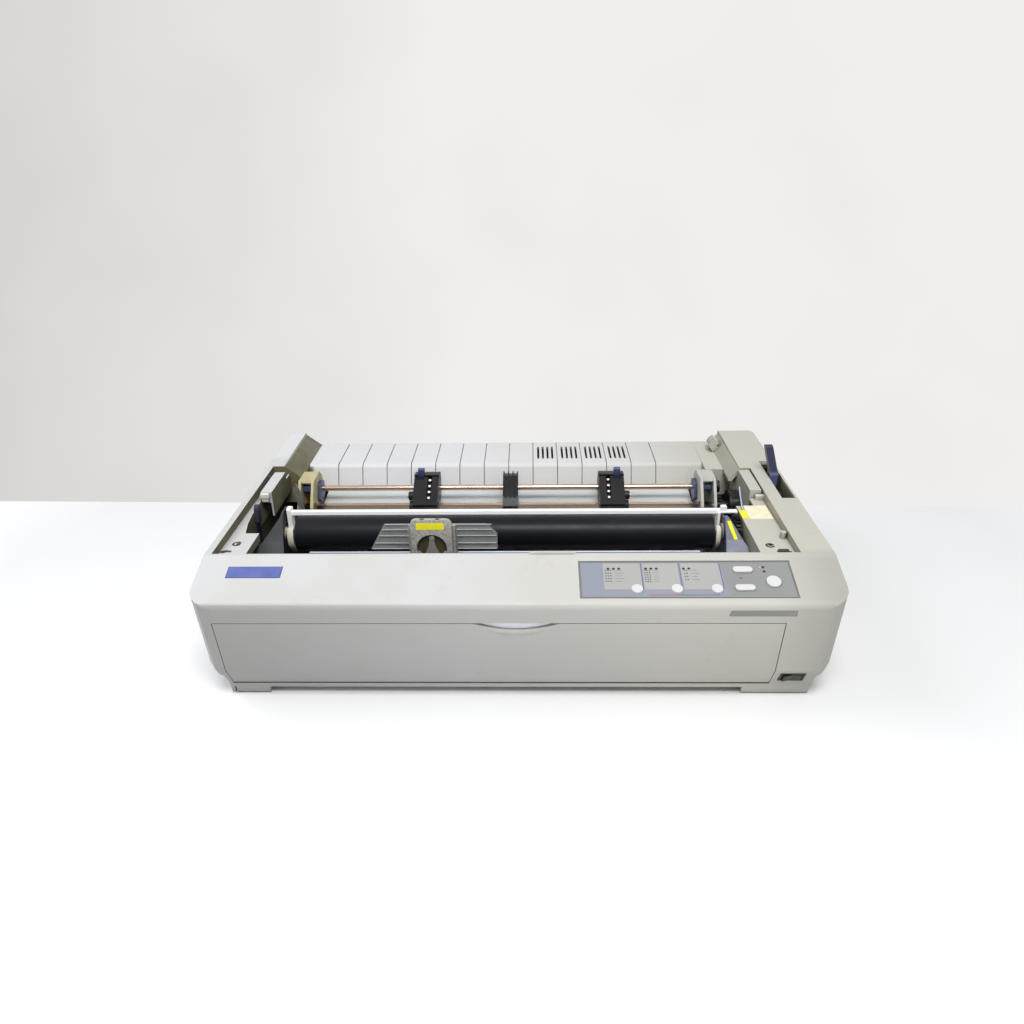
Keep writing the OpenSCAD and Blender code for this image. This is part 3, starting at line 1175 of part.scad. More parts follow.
// ---- Hand levers ----
module release_lever() color(blue) difference() {
    union() {
        intersection() {
            along_x(slot_x0 + 1 - lever_lean, slot_x0 + 1 + lever_w) polygon(rounded(
                [[lever_y - 4, lever_z - 6], [lever_y - 4, 150], [lever_y + 7, lever_top],
                 [lever_y + 16, lever_top], [lever_y + 9, 150], [lever_y + 6, lever_z - 6]],
                [3, 8, 4, 4, 8, 3]));
            // the handle above the case leans towards the middle
            along_y(lever_y - 60, lever_y + 60) translate([slot_x0 + 1, 0]) polygon([
                [0, lever_z - 20], [lever_w, lever_z - 20], [lever_w, rim_z(lever_y) + 6],
                [lever_w - lever_lean, lever_top + 1], [-lever_lean, lever_top + 1],
                [0, rim_z(lever_y) + 6]]);
        }
        rod_x(slot_x0 + 1, slot_x0 + 1 + lever_w, lever_y, lever_z, 15);
    }
    rod_x(slot_x0, slot_x0 + lever_w + 3, lever_y, lever_z, 6 + 2 * run);
}
module thickness_lever() color(blue) difference() {
    union() {
        translate([0, side_lever_y, side_lever_z]) {
            along_x(side_lever_x + 0.8, side_lever_x + 4.2) polygon([[-2.5, 0], [0.5, 43], [5.5, 43],
                [2.5, 0]]);
            along_x(side_lever_x, side_lever_x + 5) polygon(rounded(
                [[-1.5, 41], [3, 59], [6, 61], [12, 61], [9.5, 41]], [2, 6, 3, 3, 2]));
        }
        rod_x(side_lever_x, side_lever_x + 5, side_lever_y, side_lever_z, 12);
    }
    rod_x(side_lever_x - 1, side_lever_x + 6, side_lever_y, side_lever_z, 6 + 2 * run);
}

lower_case();
upper_case();
front_door();
rubber_feet();
control_panel();
indicator_lamps();
panel_board();
font_button();
pitch_button();
tear_button();
load_button();
feed_button();
pause_button();
power_switch();
power_rocker();
power_inlet();
interface_socket();
main_board();
power_supply();
base_plate();
side_frame_left();
side_frame_right();
motor_plate();
feed_motor();
motor_pinion();
platen();
platen_shaft();
platen_bushes();
platen_gear();
platen_knob();
idler_gear_front();
idler_gear_rear();
tractor_drive_shaft();
tractor_gear();
tractor_support_shaft();
support_shaft_wheel();
tractor_bracket_left();
tractor_bracket_right();
bracket_tab_left();
bracket_tab_right();
tractor_left();
tractor_flap_left();
tractor_lock_left();
tractor_right();
tractor_flap_right();
tractor_lock_right();
centre_support();
rear_paper_guide();
front_paper_guide();
bail();
carriage_shaft();
carriage();
print_head();
ribbon_mask();
timing_belt();
drive_pulley();
idler_pulley();
carriage_motor();
release_lever();
thickness_lever();
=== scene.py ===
import json
import math

import bmesh
import bpy
from mathutils import Matrix, Vector


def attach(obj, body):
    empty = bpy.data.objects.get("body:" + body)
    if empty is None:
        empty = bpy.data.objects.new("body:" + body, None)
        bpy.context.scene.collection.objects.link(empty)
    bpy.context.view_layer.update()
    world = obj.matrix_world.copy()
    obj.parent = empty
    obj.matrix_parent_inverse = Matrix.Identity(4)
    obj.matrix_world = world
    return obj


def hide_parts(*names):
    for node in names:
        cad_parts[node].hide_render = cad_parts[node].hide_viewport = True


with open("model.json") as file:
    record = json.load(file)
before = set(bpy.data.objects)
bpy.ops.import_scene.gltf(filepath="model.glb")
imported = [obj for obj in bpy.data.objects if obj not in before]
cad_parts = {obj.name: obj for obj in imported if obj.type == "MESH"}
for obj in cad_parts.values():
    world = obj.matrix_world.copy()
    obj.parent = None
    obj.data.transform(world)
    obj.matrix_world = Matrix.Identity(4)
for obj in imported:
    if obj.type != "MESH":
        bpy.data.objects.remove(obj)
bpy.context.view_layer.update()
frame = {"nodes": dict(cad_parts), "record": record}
NODES = frame["nodes"]
MATERIALS = {}
MM = 0.001
X, Y, Z = 0, 1, 2

# ---------------------------------------------------------------- sizes, in millimetres
BODY_W, BODY_D = 632.0, 401.0
SIDE_X, FRONT_Y = BODY_W / 2, -BODY_D / 2
# the front: a face that leans in towards its foot, a crease, and a slope up to the lip
CREASE_H, LIP_H, SLOPE_D = 124.0, 144.4, 62.7
LEAN = math.radians(8)
SLOPE = math.atan2(LIP_H - CREASE_H, SLOPE_D)
LEDGE_TOP = LIP_H - 8.4
# the button panel, sunk into the slope
PANEL_W, PANEL_END, PANEL_EDGE, PANEL_SINK = 207.0, 48.0, 8.5, 0.4
PANEL_X1 = SIDE_X - PANEL_END
PANEL_X0 = PANEL_X1 - PANEL_W
PANEL_Y0, PANEL_Y1 = FRONT_Y + PANEL_EDGE, FRONT_Y + SLOPE_D - PANEL_EDGE
PANEL_DEEP = (PANEL_Y1 - PANEL_Y0) / math.cos(SLOPE)
# the print head: its middle and width, the top of its solid, and its face towards the front
HEAD_X, HEAD_W, HEAD_TOP, HEAD_BACK = -89.5, 43.0, 158.5, -101.0
MASK_Y = -57.9
BAIL_L, BAIL_R = -262.2, 224.0
# the panel's three blocks of captions: a pale box, the rule at its right, dots and strokes
BLOCKS = ({"box": (24.0, 60.5), "rule": 60.7, "rows": 5, "dots": 26.5, "columns": 3,
           "strokes": 35.0, "length": 9.0},
          {"box": (62.5, 97.0), "rule": 98.1, "rows": 6, "dots": 64.5, "columns": 3,
           "strokes": 72.5, "length": 5.5},
          {"box": (100.0, 137.0), "rule": 137.4, "rows": 4, "dots": 103.0, "columns": 2,
           "strokes": 109.5, "length": 7.0})
# the first row below the panel's top edge, the room for all rows, and the widest step
FIRST_ROW, ROWS_DEEP, ROW_STEP = 12.4, 17.5, 4.0


# ---------------------------------------------------------------- camera
def place_camera():
    """The photograph's view: a pinhole fitted to the case's edges, in the row frame."""
    yaw, pitch, roll = -0.027919, 0.456083, -0.0165
    eye = (0.015841, -0.836755, 0.534822)
    forward = Vector((math.sin(yaw) * math.cos(pitch), math.cos(yaw) * math.cos(pitch),
                      -math.sin(pitch)))
    level = Vector((math.cos(yaw), -math.sin(yaw), 0))
    over = level.cross(forward)
    right = math.cos(roll) * level + math.sin(roll) * over
    up = math.cos(roll) * over - math.sin(roll) * level
    data = bpy.data.cameras.new("view")
    data.sensor_width = 36.0
    data.lens = 28.125
    data.clip_start = 0.01
    data.clip_end = 50.0
    camera = bpy.data.objects.new("view", data)
    bpy.context.scene.collection.objects.link(camera)
    rotation = Matrix((right, up, -forward)).transposed()
    camera.matrix_world = Matrix.Translation(eye) @ rotation.to_4x4()
    bpy.context.scene.camera = camera


# ---------------------------------------------------------------- node helpers
class Tree:
    """Short calls for the nodes that this scene uses, in a material's tree or the world's."""

    # the sockets of a mix node that is set to colours
    FACTOR, FIRST, SECOND, RESULT = 0, 6, 7, 2

    def __init__(self, tree, coordinates):
        self.nodes = tree.nodes
        self.links = tree.links
        self.coords = self.nodes.new("ShaderNodeTexCoord").outputs[coordinates]

    def link(self, source, target):
        self.links.new(source, target)

    def noise(self, scale, detail=2.0, rough=0.5, stretch=None):
        node = self.nodes.new("ShaderNodeTexNoise")
        node.inputs["Scale"].default_value = scale
        node.inputs["Detail"].default_value = detail
        node.inputs["Roughness"].default_value = rough
        source = self.coords
        if stretch:
            mapping = self.nodes.new("ShaderNodeMapping")
            mapping.inputs["Scale"].default_value = stretch
            self.link(self.coords, mapping.inputs["Vector"])
            source = mapping.outputs[0]
        self.link(source, node.inputs["Vector"])
        return node.outputs["Fac"]

    def part(self, source, index):
        node = self.nodes.new("ShaderNodeSeparateXYZ")
        self.link(source, node.inputs[0])
        return node.outputs[index]

    def axis(self, index):
        """One of the tree's own coordinates; in a material it is a place in metres."""
        return self.part(self.coords, index)

    def facing(self, index):
        """One part of the surface's own direction in the scene."""
        return self.part(self.nodes.new("ShaderNodeNewGeometry").outputs["True Normal"], index)

    def ramp(self, source, low, high, a=0.0, b=1.0):
        """From a at low to b at high, and level beyond them."""
        node = self.nodes.new("ShaderNodeMapRange")
        node.inputs["From Min"].default_value = low
        node.inputs["From Max"].default_value = high
        node.inputs["To Min"].default_value = a
        node.inputs["To Max"].default_value = b
        self.link(source, node.inputs["Value"])
        return node.outputs[0]

    def between(self, index, low, high, soft=0.0012):
        """1 between two places along an axis, with a short fade inside each of them."""
        return self.times(self.ramp(self.axis(index), low, low + soft),
                          self.ramp(self.axis(index), high, high - soft))

    def reckon(self, operation, a, b, clamp=False):
        node = self.nodes.new("ShaderNodeMath")
        node.operation = operation
        node.use_clamp = clamp
        self.link(a, node.inputs[0])
        self.link(b, node.inputs[1])
        return node.outputs[0]

    def times(self, first, *others):
        for other in others:
            first = self.reckon("MULTIPLY", first, other)
        return first

    def mix(self, factor, a, b):
        """From a to b by the factor; each is a colour or another node's colour."""
        node = self.nodes.new("ShaderNodeMix")
        node.data_type = "RGBA"
        self.link(factor, node.inputs[self.FACTOR])
        for value, key in ((a, self.FIRST), (b, self.SECOND)):
            if isinstance(value, bpy.types.NodeSocket):
                self.link(value, node.inputs[key])
            else:
                node.inputs[key].default_value = (*value, 1.0)
        return node.outputs[self.RESULT]

    def crevice(self, distance):
        """1 in the open, less where other surfaces are near."""
        node = self.nodes.new("ShaderNodeAmbientOcclusion")
        node.samples = 6
        node.inputs["Distance"].default_value = distance
        return node.outputs["AO"]


class Finish(Tree):
    """A material, kept in MATERIALS by its name, with short calls for its shader."""

    def __init__(self, name):
        self.mat = bpy.data.materials.new(name)
        self.mat.use_nodes = True
        super().__init__(self.mat.node_tree, "Object")
        self.shader = self.nodes["Principled BSDF"]
        MATERIALS[name] = self.mat

    def colour(self, source):
        self.link(source, self.shader.inputs["Base Color"])

    def roughness(self, source):
        self.link(source, self.shader.inputs["Roughness"])

    def bump(self, height, strength, distance):
        node = self.nodes.new("ShaderNodeBump")
        node.inputs["Strength"].default_value = strength
        node.inputs["Distance"].default_value = distance
        self.link(height, node.inputs["Height"])
        self.link(node.outputs[0], self.shader.inputs["Normal"])

    def set(self, **values):
        for key, value in values.items():
            self.shader.inputs[key.replace("_", " ")].default_value = value


def lin(r, g, b):
    """A colour given as 0 to 255 display values."""
    return tuple((c / 255 / 12.92) if c <= 10 else ((c / 255 + 0.055) / 1.055) ** 2.4
                 for c in (r, g, b))


# ---------------------------------------------------------------- finishes
def moulded(name, base, shade, rough=0.45, grain=1400.0, depth=0.25, dust_and_shade=None, mottle=7.0,
            shine=0.5):
    """A moulded plastic: slow mottling, a fine spark-eroded grain, dust and painted shade in the
    corners.
    """
    t = Finish(name)
    slow = t.ramp(t.noise(mottle, 3.0, 0.6), 0.35, 0.65)
    colour = t.mix(slow, base, shade)
    speck = t.ramp(t.noise(grain * 0.55, 1.0), 0.4, 0.75, 0.0, 0.10)
    colour = t.mix(speck, colour, shade)
    # painted shade in the corners, tinted as dust
    if dust_and_shade:
        corner = t.ramp(t.crevice(0.012), 0.25, 0.85, 0.75, 0.0)
        colour = t.mix(corner, colour, dust_and_shade)
    t.colour(colour)
    t.roughness(t.ramp(t.noise(40.0, 3.0), 0.3, 0.7, rough - 0.06, rough + 0.08))
    t.set(Specular_IOR_Level=shine)
    t.bump(t.noise(grain, 2.0, 0.6), depth, 0.0002)


def case_plastic():
    """The case's grey-beige: warmer to the right, olive where it has aged inside, scuffed; painted
    shade darkens it to the right, on the front face, in the lever slot, on the inner walls, in
    corners and in narrow gaps.
    """
    t = Finish("case_grey")
    # painted shade that darkens the case towards the right, where its tone is also warmer
    colour = t.mix(t.ramp(t.axis(X), -0.12, 0.30), lin(199, 200, 203), lin(186, 184, 172))
    slow = t.ramp(t.noise(6.0, 4.0, 0.6), 0.35, 0.7, 0.0, 0.7)
    colour = t.mix(slow, colour, lin(188, 186, 176))
    # painted shade: the front face is darker than the top, most of all at the left
    front = t.times(t.ramp(t.facing(Y), -0.55, -0.85), t.ramp(t.axis(Y), -0.160, -0.170))
    left = t.ramp(t.axis(X), 0.15, -0.30, 0.15, 1.0)
    colour = t.mix(t.times(front, left), colour, lin(152, 152, 150))
    stain = t.ramp(t.noise(22.0, 5.0, 0.7), 0.60, 0.78, 0.0, 0.30)
    colour = t.mix(stain, colour, lin(152, 146, 122))
    speck = t.ramp(t.noise(700.0, 1.0), 0.4, 0.75, 0.0, 0.12)
    colour = t.mix(speck, colour, lin(172, 170, 162))
    # painted shade: the right front corner is darker
    corner = t.times(t.ramp(t.axis(X), 0.245, 0.305, 0.0, 0.6), t.ramp(t.axis(Y), -0.125, -0.145))
    colour = t.mix(corner, colour, lin(146, 145, 140))
    # the ribbed deck is a little paler than the rest
    deck = t.times(t.ramp(t.axis(Y), 0.105, 0.120), t.ramp(t.facing(Z), 0.15, 0.45),
                   t.ramp(t.axis(X), 0.24, 0.10, 0.0, 0.4))
    colour = t.mix(deck, colour, lin(226, 226, 230))
    # painted shade inside the lever slot
    deep = t.times(t.between(X, 0.2970, 0.3158), t.between(Y, -0.0135, 0.0945),
                   t.between(Z, 0.0650, 0.1440))
    colour = t.mix(deep, colour, lin(58, 58, 54))
    # aged inner walls with painted shade: olive with age and darker where they face away from the
    # light; strong at the left, olive on the left tower's front, weaker at the right
    patch = t.ramp(t.noise(14.0, 4.0, 0.65), 0.25, 0.6, 0.8, 1.0)
    inner = t.times(t.ramp(t.facing(X), 0.30, 0.55), t.ramp(t.axis(X), -0.19, -0.21), patch,
                    t.ramp(t.axis(Y), -0.150, -0.135))
    colour = t.mix(inner, colour, lin(92, 86, 62))
    inner = t.times(t.ramp(t.facing(Y), -0.6, -0.9), t.ramp(t.axis(X), -0.268, -0.272),
                    t.ramp(t.axis(Y), 0.060, 0.080))
    colour = t.mix(inner, colour, lin(110, 104, 78))
    inner = t.times(t.ramp(t.facing(X), -0.35, -0.7), t.ramp(t.axis(X), 0.19, 0.21), patch,
                    t.ramp(t.axis(Y), -0.150, -0.135, 0.0, 0.6))
    colour = t.mix(inner, colour, lin(126, 123, 106))
    # painted shade in the corners, tinted as dust, and painted shade in narrow gaps, which draws the
    # dark joint lines
    colour = t.mix(t.ramp(t.crevice(0.012), 0.15, 0.7, 0.75, 0.0), colour, lin(104, 97, 76))
    colour = t.mix(t.ramp(t.crevice(0.0022), 0.3, 0.8, 0.85, 0.0), colour, lin(48, 45, 38))
    t.colour(colour)
    t.roughness(t.ramp(t.noise(40.0, 3.0), 0.3, 0.7, 0.46, 0.60))
    t.set(Specular_IOR_Level=0.35)
    t.bump(t.noise(1300.0, 2.0, 0.6), 0.22, 0.0002)


def split_finish(name, index, low, high, first, second, rough, metallic=0.0, scale=40.0,
                 stretch=(1, 1, 1), dust_and_shade=None):
    """A finish that turns from one colour to another along one axis, with streaks on both."""
    t = Finish(name)
    streak = t.noise(scale, 4.0, 0.6, stretch)
    share = t.ramp(streak, 0.3, 0.7)
    colour = t.mix(t.ramp(t.axis(index), low, high), t.mix(share, *first), t.mix(share, *second))
    # painted shade in the corners, tinted as dust
    if dust_and_shade:
        colour = t.mix(t.ramp(t.crevice(0.008), 0.2, 0.8, 0.8, 0.0), colour, dust_and_shade)
    t.colour(colour)
    t.roughness(t.ramp(streak, 0.25, 0.75, rough - 0.06, rough + 0.1))
    t.set(Metallic=metallic)
    t.bump(t.noise(scale * 8, 3.0, 0.6, stretch), 0.1, 0.0001)


def metal(name, base, shade, rough=0.3, metallic=1.0, stretch=(1, 1, 1), scale=60.0, depth=0.08,
          dust_and_shade=None):
    """A metal: brushed or rolled streaks, spread roughness, grime and painted shade in the corners.
    """
    t = Finish(name)
    streak = t.noise(scale, 4.0, 0.6, stretch)
    colour = t.mix(t.ramp(streak, 0.3, 0.7), base, shade)
    # painted shade in the corners, tinted as grime
    if dust_and_shade:
        colour = t.mix(t.ramp(t.crevice(0.008), 0.2, 0.8, 0.8, 0.0), colour, dust_and_shade)
    t.colour(colour)
    t.roughness(t.ramp(streak, 0.25, 0.75, rough - 0.08, rough + 0.12))
    t.set(Metallic=metallic)
    t.bump(t.noise(scale * 6, 3.0, 0.6, stretch), depth, 0.0001)


def clear_film():
    """The clear ribbon mask: thin, hazy, a little scratched."""
    t = Finish("clear_film")
    t.colour(t.mix(t.ramp(t.noise(40.0, 3.0), 0.3, 0.7), lin(206, 208, 206), lin(184, 187, 184)))
    t.roughness(t.ramp(t.noise(60.0, 2.0), 0.3, 0.7, 0.12, 0.28))
    t.set(Alpha=0.34)


def glowing(name, base, shade, strength):
    """A finish that shines faintly by itself: a lit lamp, or a painted highlight on a part that only
    reflects light.
    """
    t = Finish(name)
    t.colour(t.mix(t.ramp(t.noise(300.0), 0.3, 0.7), base, shade))
    t.set(Roughness=0.3, Emission_Color=(*base, 1), Emission_Strength=strength)


def make_moulded():
    """The plain plastics and rubbers of the nodes."""
    moulded("foot_rubber", lin(40, 40, 40), lin(52, 51, 50), 0.75, 700, 0.4)
    moulded("panel_face", lin(140, 140, 140), lin(133, 134, 134), 0.5, 1800, 0.15)
    moulded("lamp_lens", lin(52, 64, 56), lin(44, 52, 46), 0.2, 900, 0.05)
    moulded("circuit_board", lin(40, 84, 52), lin(52, 98, 60), 0.35, 500, 0.2)
    moulded("black_plastic", lin(15, 15, 17), lin(23, 23, 25), 0.38, 1500, 0.2, lin(28, 26, 23),
            shine=0.28)
    moulded("platen_rubber", lin(19, 20, 25), lin(25, 26, 31), 0.36, 900, 0.08, shine=0.14)
    moulded("white_nylon", lin(226, 224, 212), lin(214, 210, 194), 0.4, 900, 0.1,
            lin(110, 100, 80))
    moulded("blue_plastic", lin(58, 66, 104), lin(74, 82, 120), 0.32, 1500, 0.12, lin(30, 32, 48))
    moulded("navy_plastic", lin(15, 17, 34), lin(24, 27, 48), 0.30, 1500, 0.12)
    moulded("button_white", lin(212, 212, 211), lin(204, 204, 203), 0.4, 1500, 0.1)
    moulded("guide_plastic", lin(196, 199, 200), lin(184, 187, 186), 0.5, 1200, 0.2,
            lin(120, 112, 96))
    moulded("belt_rubber", lin(30, 30, 30), lin(40, 40, 40), 0.7, 600, 0.4)


def make_metals():
    """The metals of the nodes, the brushed ones with streaks along x."""
    metal("zinc_sheet", lin(158, 160, 160), lin(134, 136, 138), 0.38, 0.9, (1, 1, 1), 45, 0.1,
          lin(96, 90, 74))
    metal("brass_gear", lin(196, 168, 104), lin(170, 142, 84), 0.3)
    metal("bright_steel", lin(214, 214, 212), lin(190, 190, 190), 0.2, 1.0, (0.05, 1, 1), 90, 0.05)
    metal("coppery_steel", lin(214, 190, 172), lin(176, 150, 134), 0.22, 1.0, (0.05, 1, 1), 60,
          0.05)
    metal("guide_steel", lin(176, 182, 196), lin(150, 156, 168), 0.35, 0.85, (0.1, 1, 1), 50, 0.08)
    metal("head_casting", lin(196, 195, 190), lin(138, 136, 128), 0.6, 0.15, (1, 1, 1), 420, 0.5,
          lin(60, 56, 44))
    metal("screw_steel", lin(150, 150, 150), lin(112, 112, 112), 0.35, 1.0, (1, 1, 1), 200, 0.1,
          lin(40, 38, 34))
    metal("arm_grey", lin(150, 150, 146), lin(112, 111, 104), 0.5, 0.4, (1, 1, 1), 80, 0.1,
          lin(60, 56, 44))


def make_split():
    """Finishes that differ from end to end: the frames, brackets, lever and paper bail."""
    split_finish("frame_steel", X, -0.20, 0.18, (lin(52, 53, 56), lin(42, 43, 46)),
                 (lin(122, 127, 141), lin(98, 102, 114)), 0.5, 0.35, 30.0, dust_and_shade=lin(30, 29, 28))
    split_finish("cream_plastic", X, -0.15, 0.15, (lin(190, 180, 140), lin(166, 154, 112)),
                 (lin(184, 186, 180), lin(168, 168, 156)), 0.46, 0.0, 30.0, dust_and_shade=lin(84, 76, 52))
    split_finish("lever_navy", Y, 0.0445, 0.0455, (lin(98, 106, 146), lin(70, 78, 118)),
                 (lin(26, 29, 56), lin(38, 42, 72)), 0.28, 0.0, 90.0)
    split_finish("bail_metal", Z, 0.116, 0.120, (lin(176, 166, 124), lin(128, 118, 84)),
                 (lin(255, 255, 254), lin(249, 249, 248)), 0.30, 0.0, 60.0, (0.08, 1, 1))


def make_scene_only():
    """Finishes of the pieces that only the scene has."""
    moulded("badge_blue", lin(88, 104, 168), lin(74, 88, 152), 0.4, 900, 0.08, lin(30, 34, 60), 60)
    moulded("strip_grey", lin(136, 136, 135), lin(128, 128, 127), 0.5, 900, 0.1)
    moulded("tint_lilac", lin(140, 144, 156), lin(133, 138, 150), 0.5, 1500, 0.1)
    moulded("tint_pale", lin(166, 166, 163), lin(160, 160, 157), 0.5, 1500, 0.1)
    moulded("ink_blue", lin(96, 102, 142), lin(88, 94, 134), 0.5, 1500, 0.1)
    moulded("ink_dark", lin(62, 62, 68), lin(74, 74, 78), 0.5, 1500, 0.1)
    moulded("ink_red", lin(190, 70, 100), lin(176, 62, 92), 0.5, 1500, 0.1)
    moulded("label_yellow", lin(238, 230, 36), lin(228, 218, 30), 0.4, 900, 0.05, mottle=60)
    moulded("label_old", lin(240, 234, 212), lin(236, 218, 176), 0.5, 900, 0.08, mottle=110)
    moulded("olive_well", lin(74, 70, 46), lin(56, 53, 34), 0.6, 500, 0.3)
    moulded("wire_blue", lin(176, 190, 214), lin(160, 176, 204), 0.35, 900, 0.05)
    moulded("rib_white", lin(196, 198, 198), lin(176, 178, 178), 0.3, 700, 0.05)
    moulded("block_white", lin(228, 227, 218), lin(210, 206, 190), 0.42, 900, 0.1,
            lin(110, 100, 80))
    moulded("shadow_grey", lin(62, 60, 52), lin(46, 44, 38), 0.6, 900, 0.2)
    moulded("well_post", lin(140, 138, 132), lin(118, 116, 108), 0.5, 700, 0.2, lin(60, 56, 40))
    glowing("lamp_red", lin(240, 120, 90), lin(230, 90, 70), 0.6)
    # the notch cup glows as a painted highlight for its glossy sheen
    glowing("cup_painted_highlight", lin(222, 222, 230), lin(200, 201, 212), 0.35)


def dress_nodes():
    """The finish that the record names for each node, but for three that differ from it."""
    finishes = {s["node"]: s["material_slot"] for s in frame["record"]["subparts"]}
    finishes.update(tractor_drive_shaft="coppery_steel", thickness_lever="navy_plastic",
                    release_lever="lever_navy")
    for name, ob in NODES.items():
        ob.data.materials.clear()
        ob.data.materials.append(MATERIALS[finishes[name]])


# ---------------------------------------------------------------- planes and outlines
def plane_at(point, up, normal):
    """A matrix, in metres, whose Y runs along up and whose Z is the normal."""
    normal, up = Vector(normal).normalized(), Vector(up).normalized()
    side = up.cross(normal)
    rotation = Matrix((side, up, normal)).transposed().to_4x4()
    return Matrix.Translation(Vector(point) * MM) @ rotation


def on_slope(x, y, lift=0.0):
    """The front slope: Y up the slope, Z out of it; the plan point (x, y) is its origin."""
    z = CREASE_H + (y - FRONT_Y) * math.tan(SLOPE)
    out = Vector((0, -math.sin(SLOPE), math.cos(SLOPE)))
    return plane_at(Vector((x, y, z)) + out * lift, (0, math.cos(SLOPE), math.sin(SLOPE)), out)


def on_face(x, z, lift=0.0):
    """The leaning front face: Y up the face, Z out of it."""
    out = Vector((0, -math.cos(LEAN), -math.sin(LEAN)))
    y = FRONT_Y + (CREASE_H - z) * math.tan(LEAN)
    return plane_at(Vector((x, y, z)) + out * lift, (0, -math.sin(LEAN), math.cos(LEAN)), out)


def flat(x, y, z):
    """A level plane: X to the right, Y to the rear."""
    return plane_at((x, y, z), (0, 1, 0), (0, 0, 1))


def upright(x, y, z=0.0):
    """A plane that faces the front: X to the right, Y up."""
    return plane_at((x, y, z), (0, 0, 1), (0, -1, 0))


def sideways(x=0.0):
    """A plane that faces right: its X is the scene's y, its Y is up."""
    return plane_at((x, 0, 0), (0, 0, 1), (1, 0, 0))


def box_outline(x0, y0, x1, y1):
    return [(x0, y0), (x1, y0), (x1, y1), (x0, y1)]


def arc(radius, start, end, steps, centre=(0, 0)):
    """Points on a circle from one angle to another, in degrees."""
    angles = [math.radians(start + (end - start) * k / steps) for k in range(steps + 1)]
    return [(centre[0] + radius * math.cos(a), centre[1] + radius * math.sin(a)) for a in angles]


def disc(radius, count=28, centre=(0, 0)):
    return arc(radius, 0, 360, count, centre)[:-1]


def open_ring(outer, inner, start, end, steps):
    """A flat ring with a gap, from one angle to another."""
    return arc(outer, start, end, steps) + arc(inner, end, start, steps)


def rounded(points, radius, steps=4):
    """A closed outline with every corner rounded."""
    path = []
    count = len(points)
    for i, b in enumerate(points):
        a, c = Vector(points[i - 1]), Vector(points[(i + 1) % count])
        b = Vector(b)
        u, v = (a - b).normalized(), (c - b).normalized()
        half = math.acos(max(-1, min(1, u.dot(v)))) / 2
        reach = min(radius / math.tan(half), (a - b).length / 2, (c - b).length / 2)
        r = reach * math.tan(half)
        middle = b + (u + v).normalized() * (r / math.sin(half))
        start, end = b + u * reach - middle, b + v * reach - middle
        a0 = math.atan2(start.y, start.x)
        turn = (math.atan2(end.y, end.x) - a0 + 3 * math.pi) % (2 * math.pi) - math.pi
        path += [(middle.x + r * math.cos(a0 + turn * k / steps),
                  middle.y + r * math.sin(a0 + turn * k / steps)) for k in range(steps + 1)]
    return path


# ---------------------------------------------------------------- pieces
def build(name, parts, material, body, stands_for=None):
    """One piece from several prisms. A part is (matrix, outline, z0, z1, bevel), in millimetres."""
    bm = bmesh.new()
    for matrix, outline, z0, z1, bevel in parts:
        low = [bm.verts.new(matrix @ (Vector((x, y, z0)) * MM)) for x, y in outline]
        high = [bm.verts.new(matrix @ (Vector((x, y, z1)) * MM)) for x, y in outline]
        count = len(outline)
        turning = sum(outline[i - 1][0] * outline[i][1] - outline[i][0] * outline[i - 1][1]
                      for i in range(count))
        if turning < 0:
            low, high = low[::-1], high[::-1]
        bm.faces.new(low[::-1])
        lid = bm.faces.new(high)
        for i in range(count):
            j = (i + 1) % count
            bm.faces.new((low[i], low[j], high[j], high[i]))
        if bevel:
            bmesh.ops.bevel(bm, geom=list(lid.edges), offset=bevel * MM, segments=3, profile=0.5,
                            affect="EDGES", clamp_overlap=True)
    mesh = bpy.data.meshes.new(name)
    bm.to_mesh(mesh)
    bm.free()
    mesh.materials.append(MATERIALS[material])
    ob = bpy.data.objects.new(name, mesh)
    bpy.context.scene.collection.objects.link(ob)
    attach(ob, body)
    if stands_for:
        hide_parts(stands_for)


def softened(node, material, body, width=0.5):
    """A copy of a node's mesh with its sharp edges rounded, standing for the node."""
    source = NODES[node]
    mesh = source.data.copy()
    mesh.name = node + "_soft"
    bm = bmesh.new()
    bm.from_mesh(mesh)
    bmesh.ops.remove_doubles(bm, verts=bm.verts, dist=1e-6)
    bmesh.ops.dissolve_limit(bm, angle_limit=math.radians(0.5), verts=bm.verts, edges=bm.edges)
    bm.to_mesh(mesh)
    bm.free()
    mesh.materials.clear()
    mesh.materials.append(MATERIALS[material])
    for polygon in mesh.polygons:
        polygon.use_smooth = True
    mesh.set_sharp_from_angle(angle=math.radians(32))
    ob = bpy.data.objects.new(node + "_soft", mesh)
    bpy.context.scene.collection.objects.link(ob)
    ob.matrix_world = source.matrix_world.copy()
    edges = ob.modifiers.new("edges", "BEVEL")
    edges.width = width * MM
    edges.segments = 2
    edges.limit_method = "ANGLE"
    edges.angle_limit = math.radians(40)
    edges.use_clamp_overlap = True
    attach(ob, body)
    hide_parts(node)


def soften_nodes():
    for side in ("left", "right"):
        softened("tractor_" + side, "black_plastic", "tractor_" + side[0])
    for side in ("left", "right"):
        softened("tractor_bracket_" + side, "cream_plastic", "chassis")
    softened("front_door", "case_grey", "door", 0.35)


# ---------------------------------------------------------------- panel graphics
def film(name, outlines, material, z0, z1):
    """Thin shapes on the panel, in millimetres from its lower left corner."""
    base = on_slope(PANEL_X0, PANEL_Y0, -PANEL_SINK)
    build(name, [(base, outline, z0, z1, 0) for outline in outlines], material, "chassis")


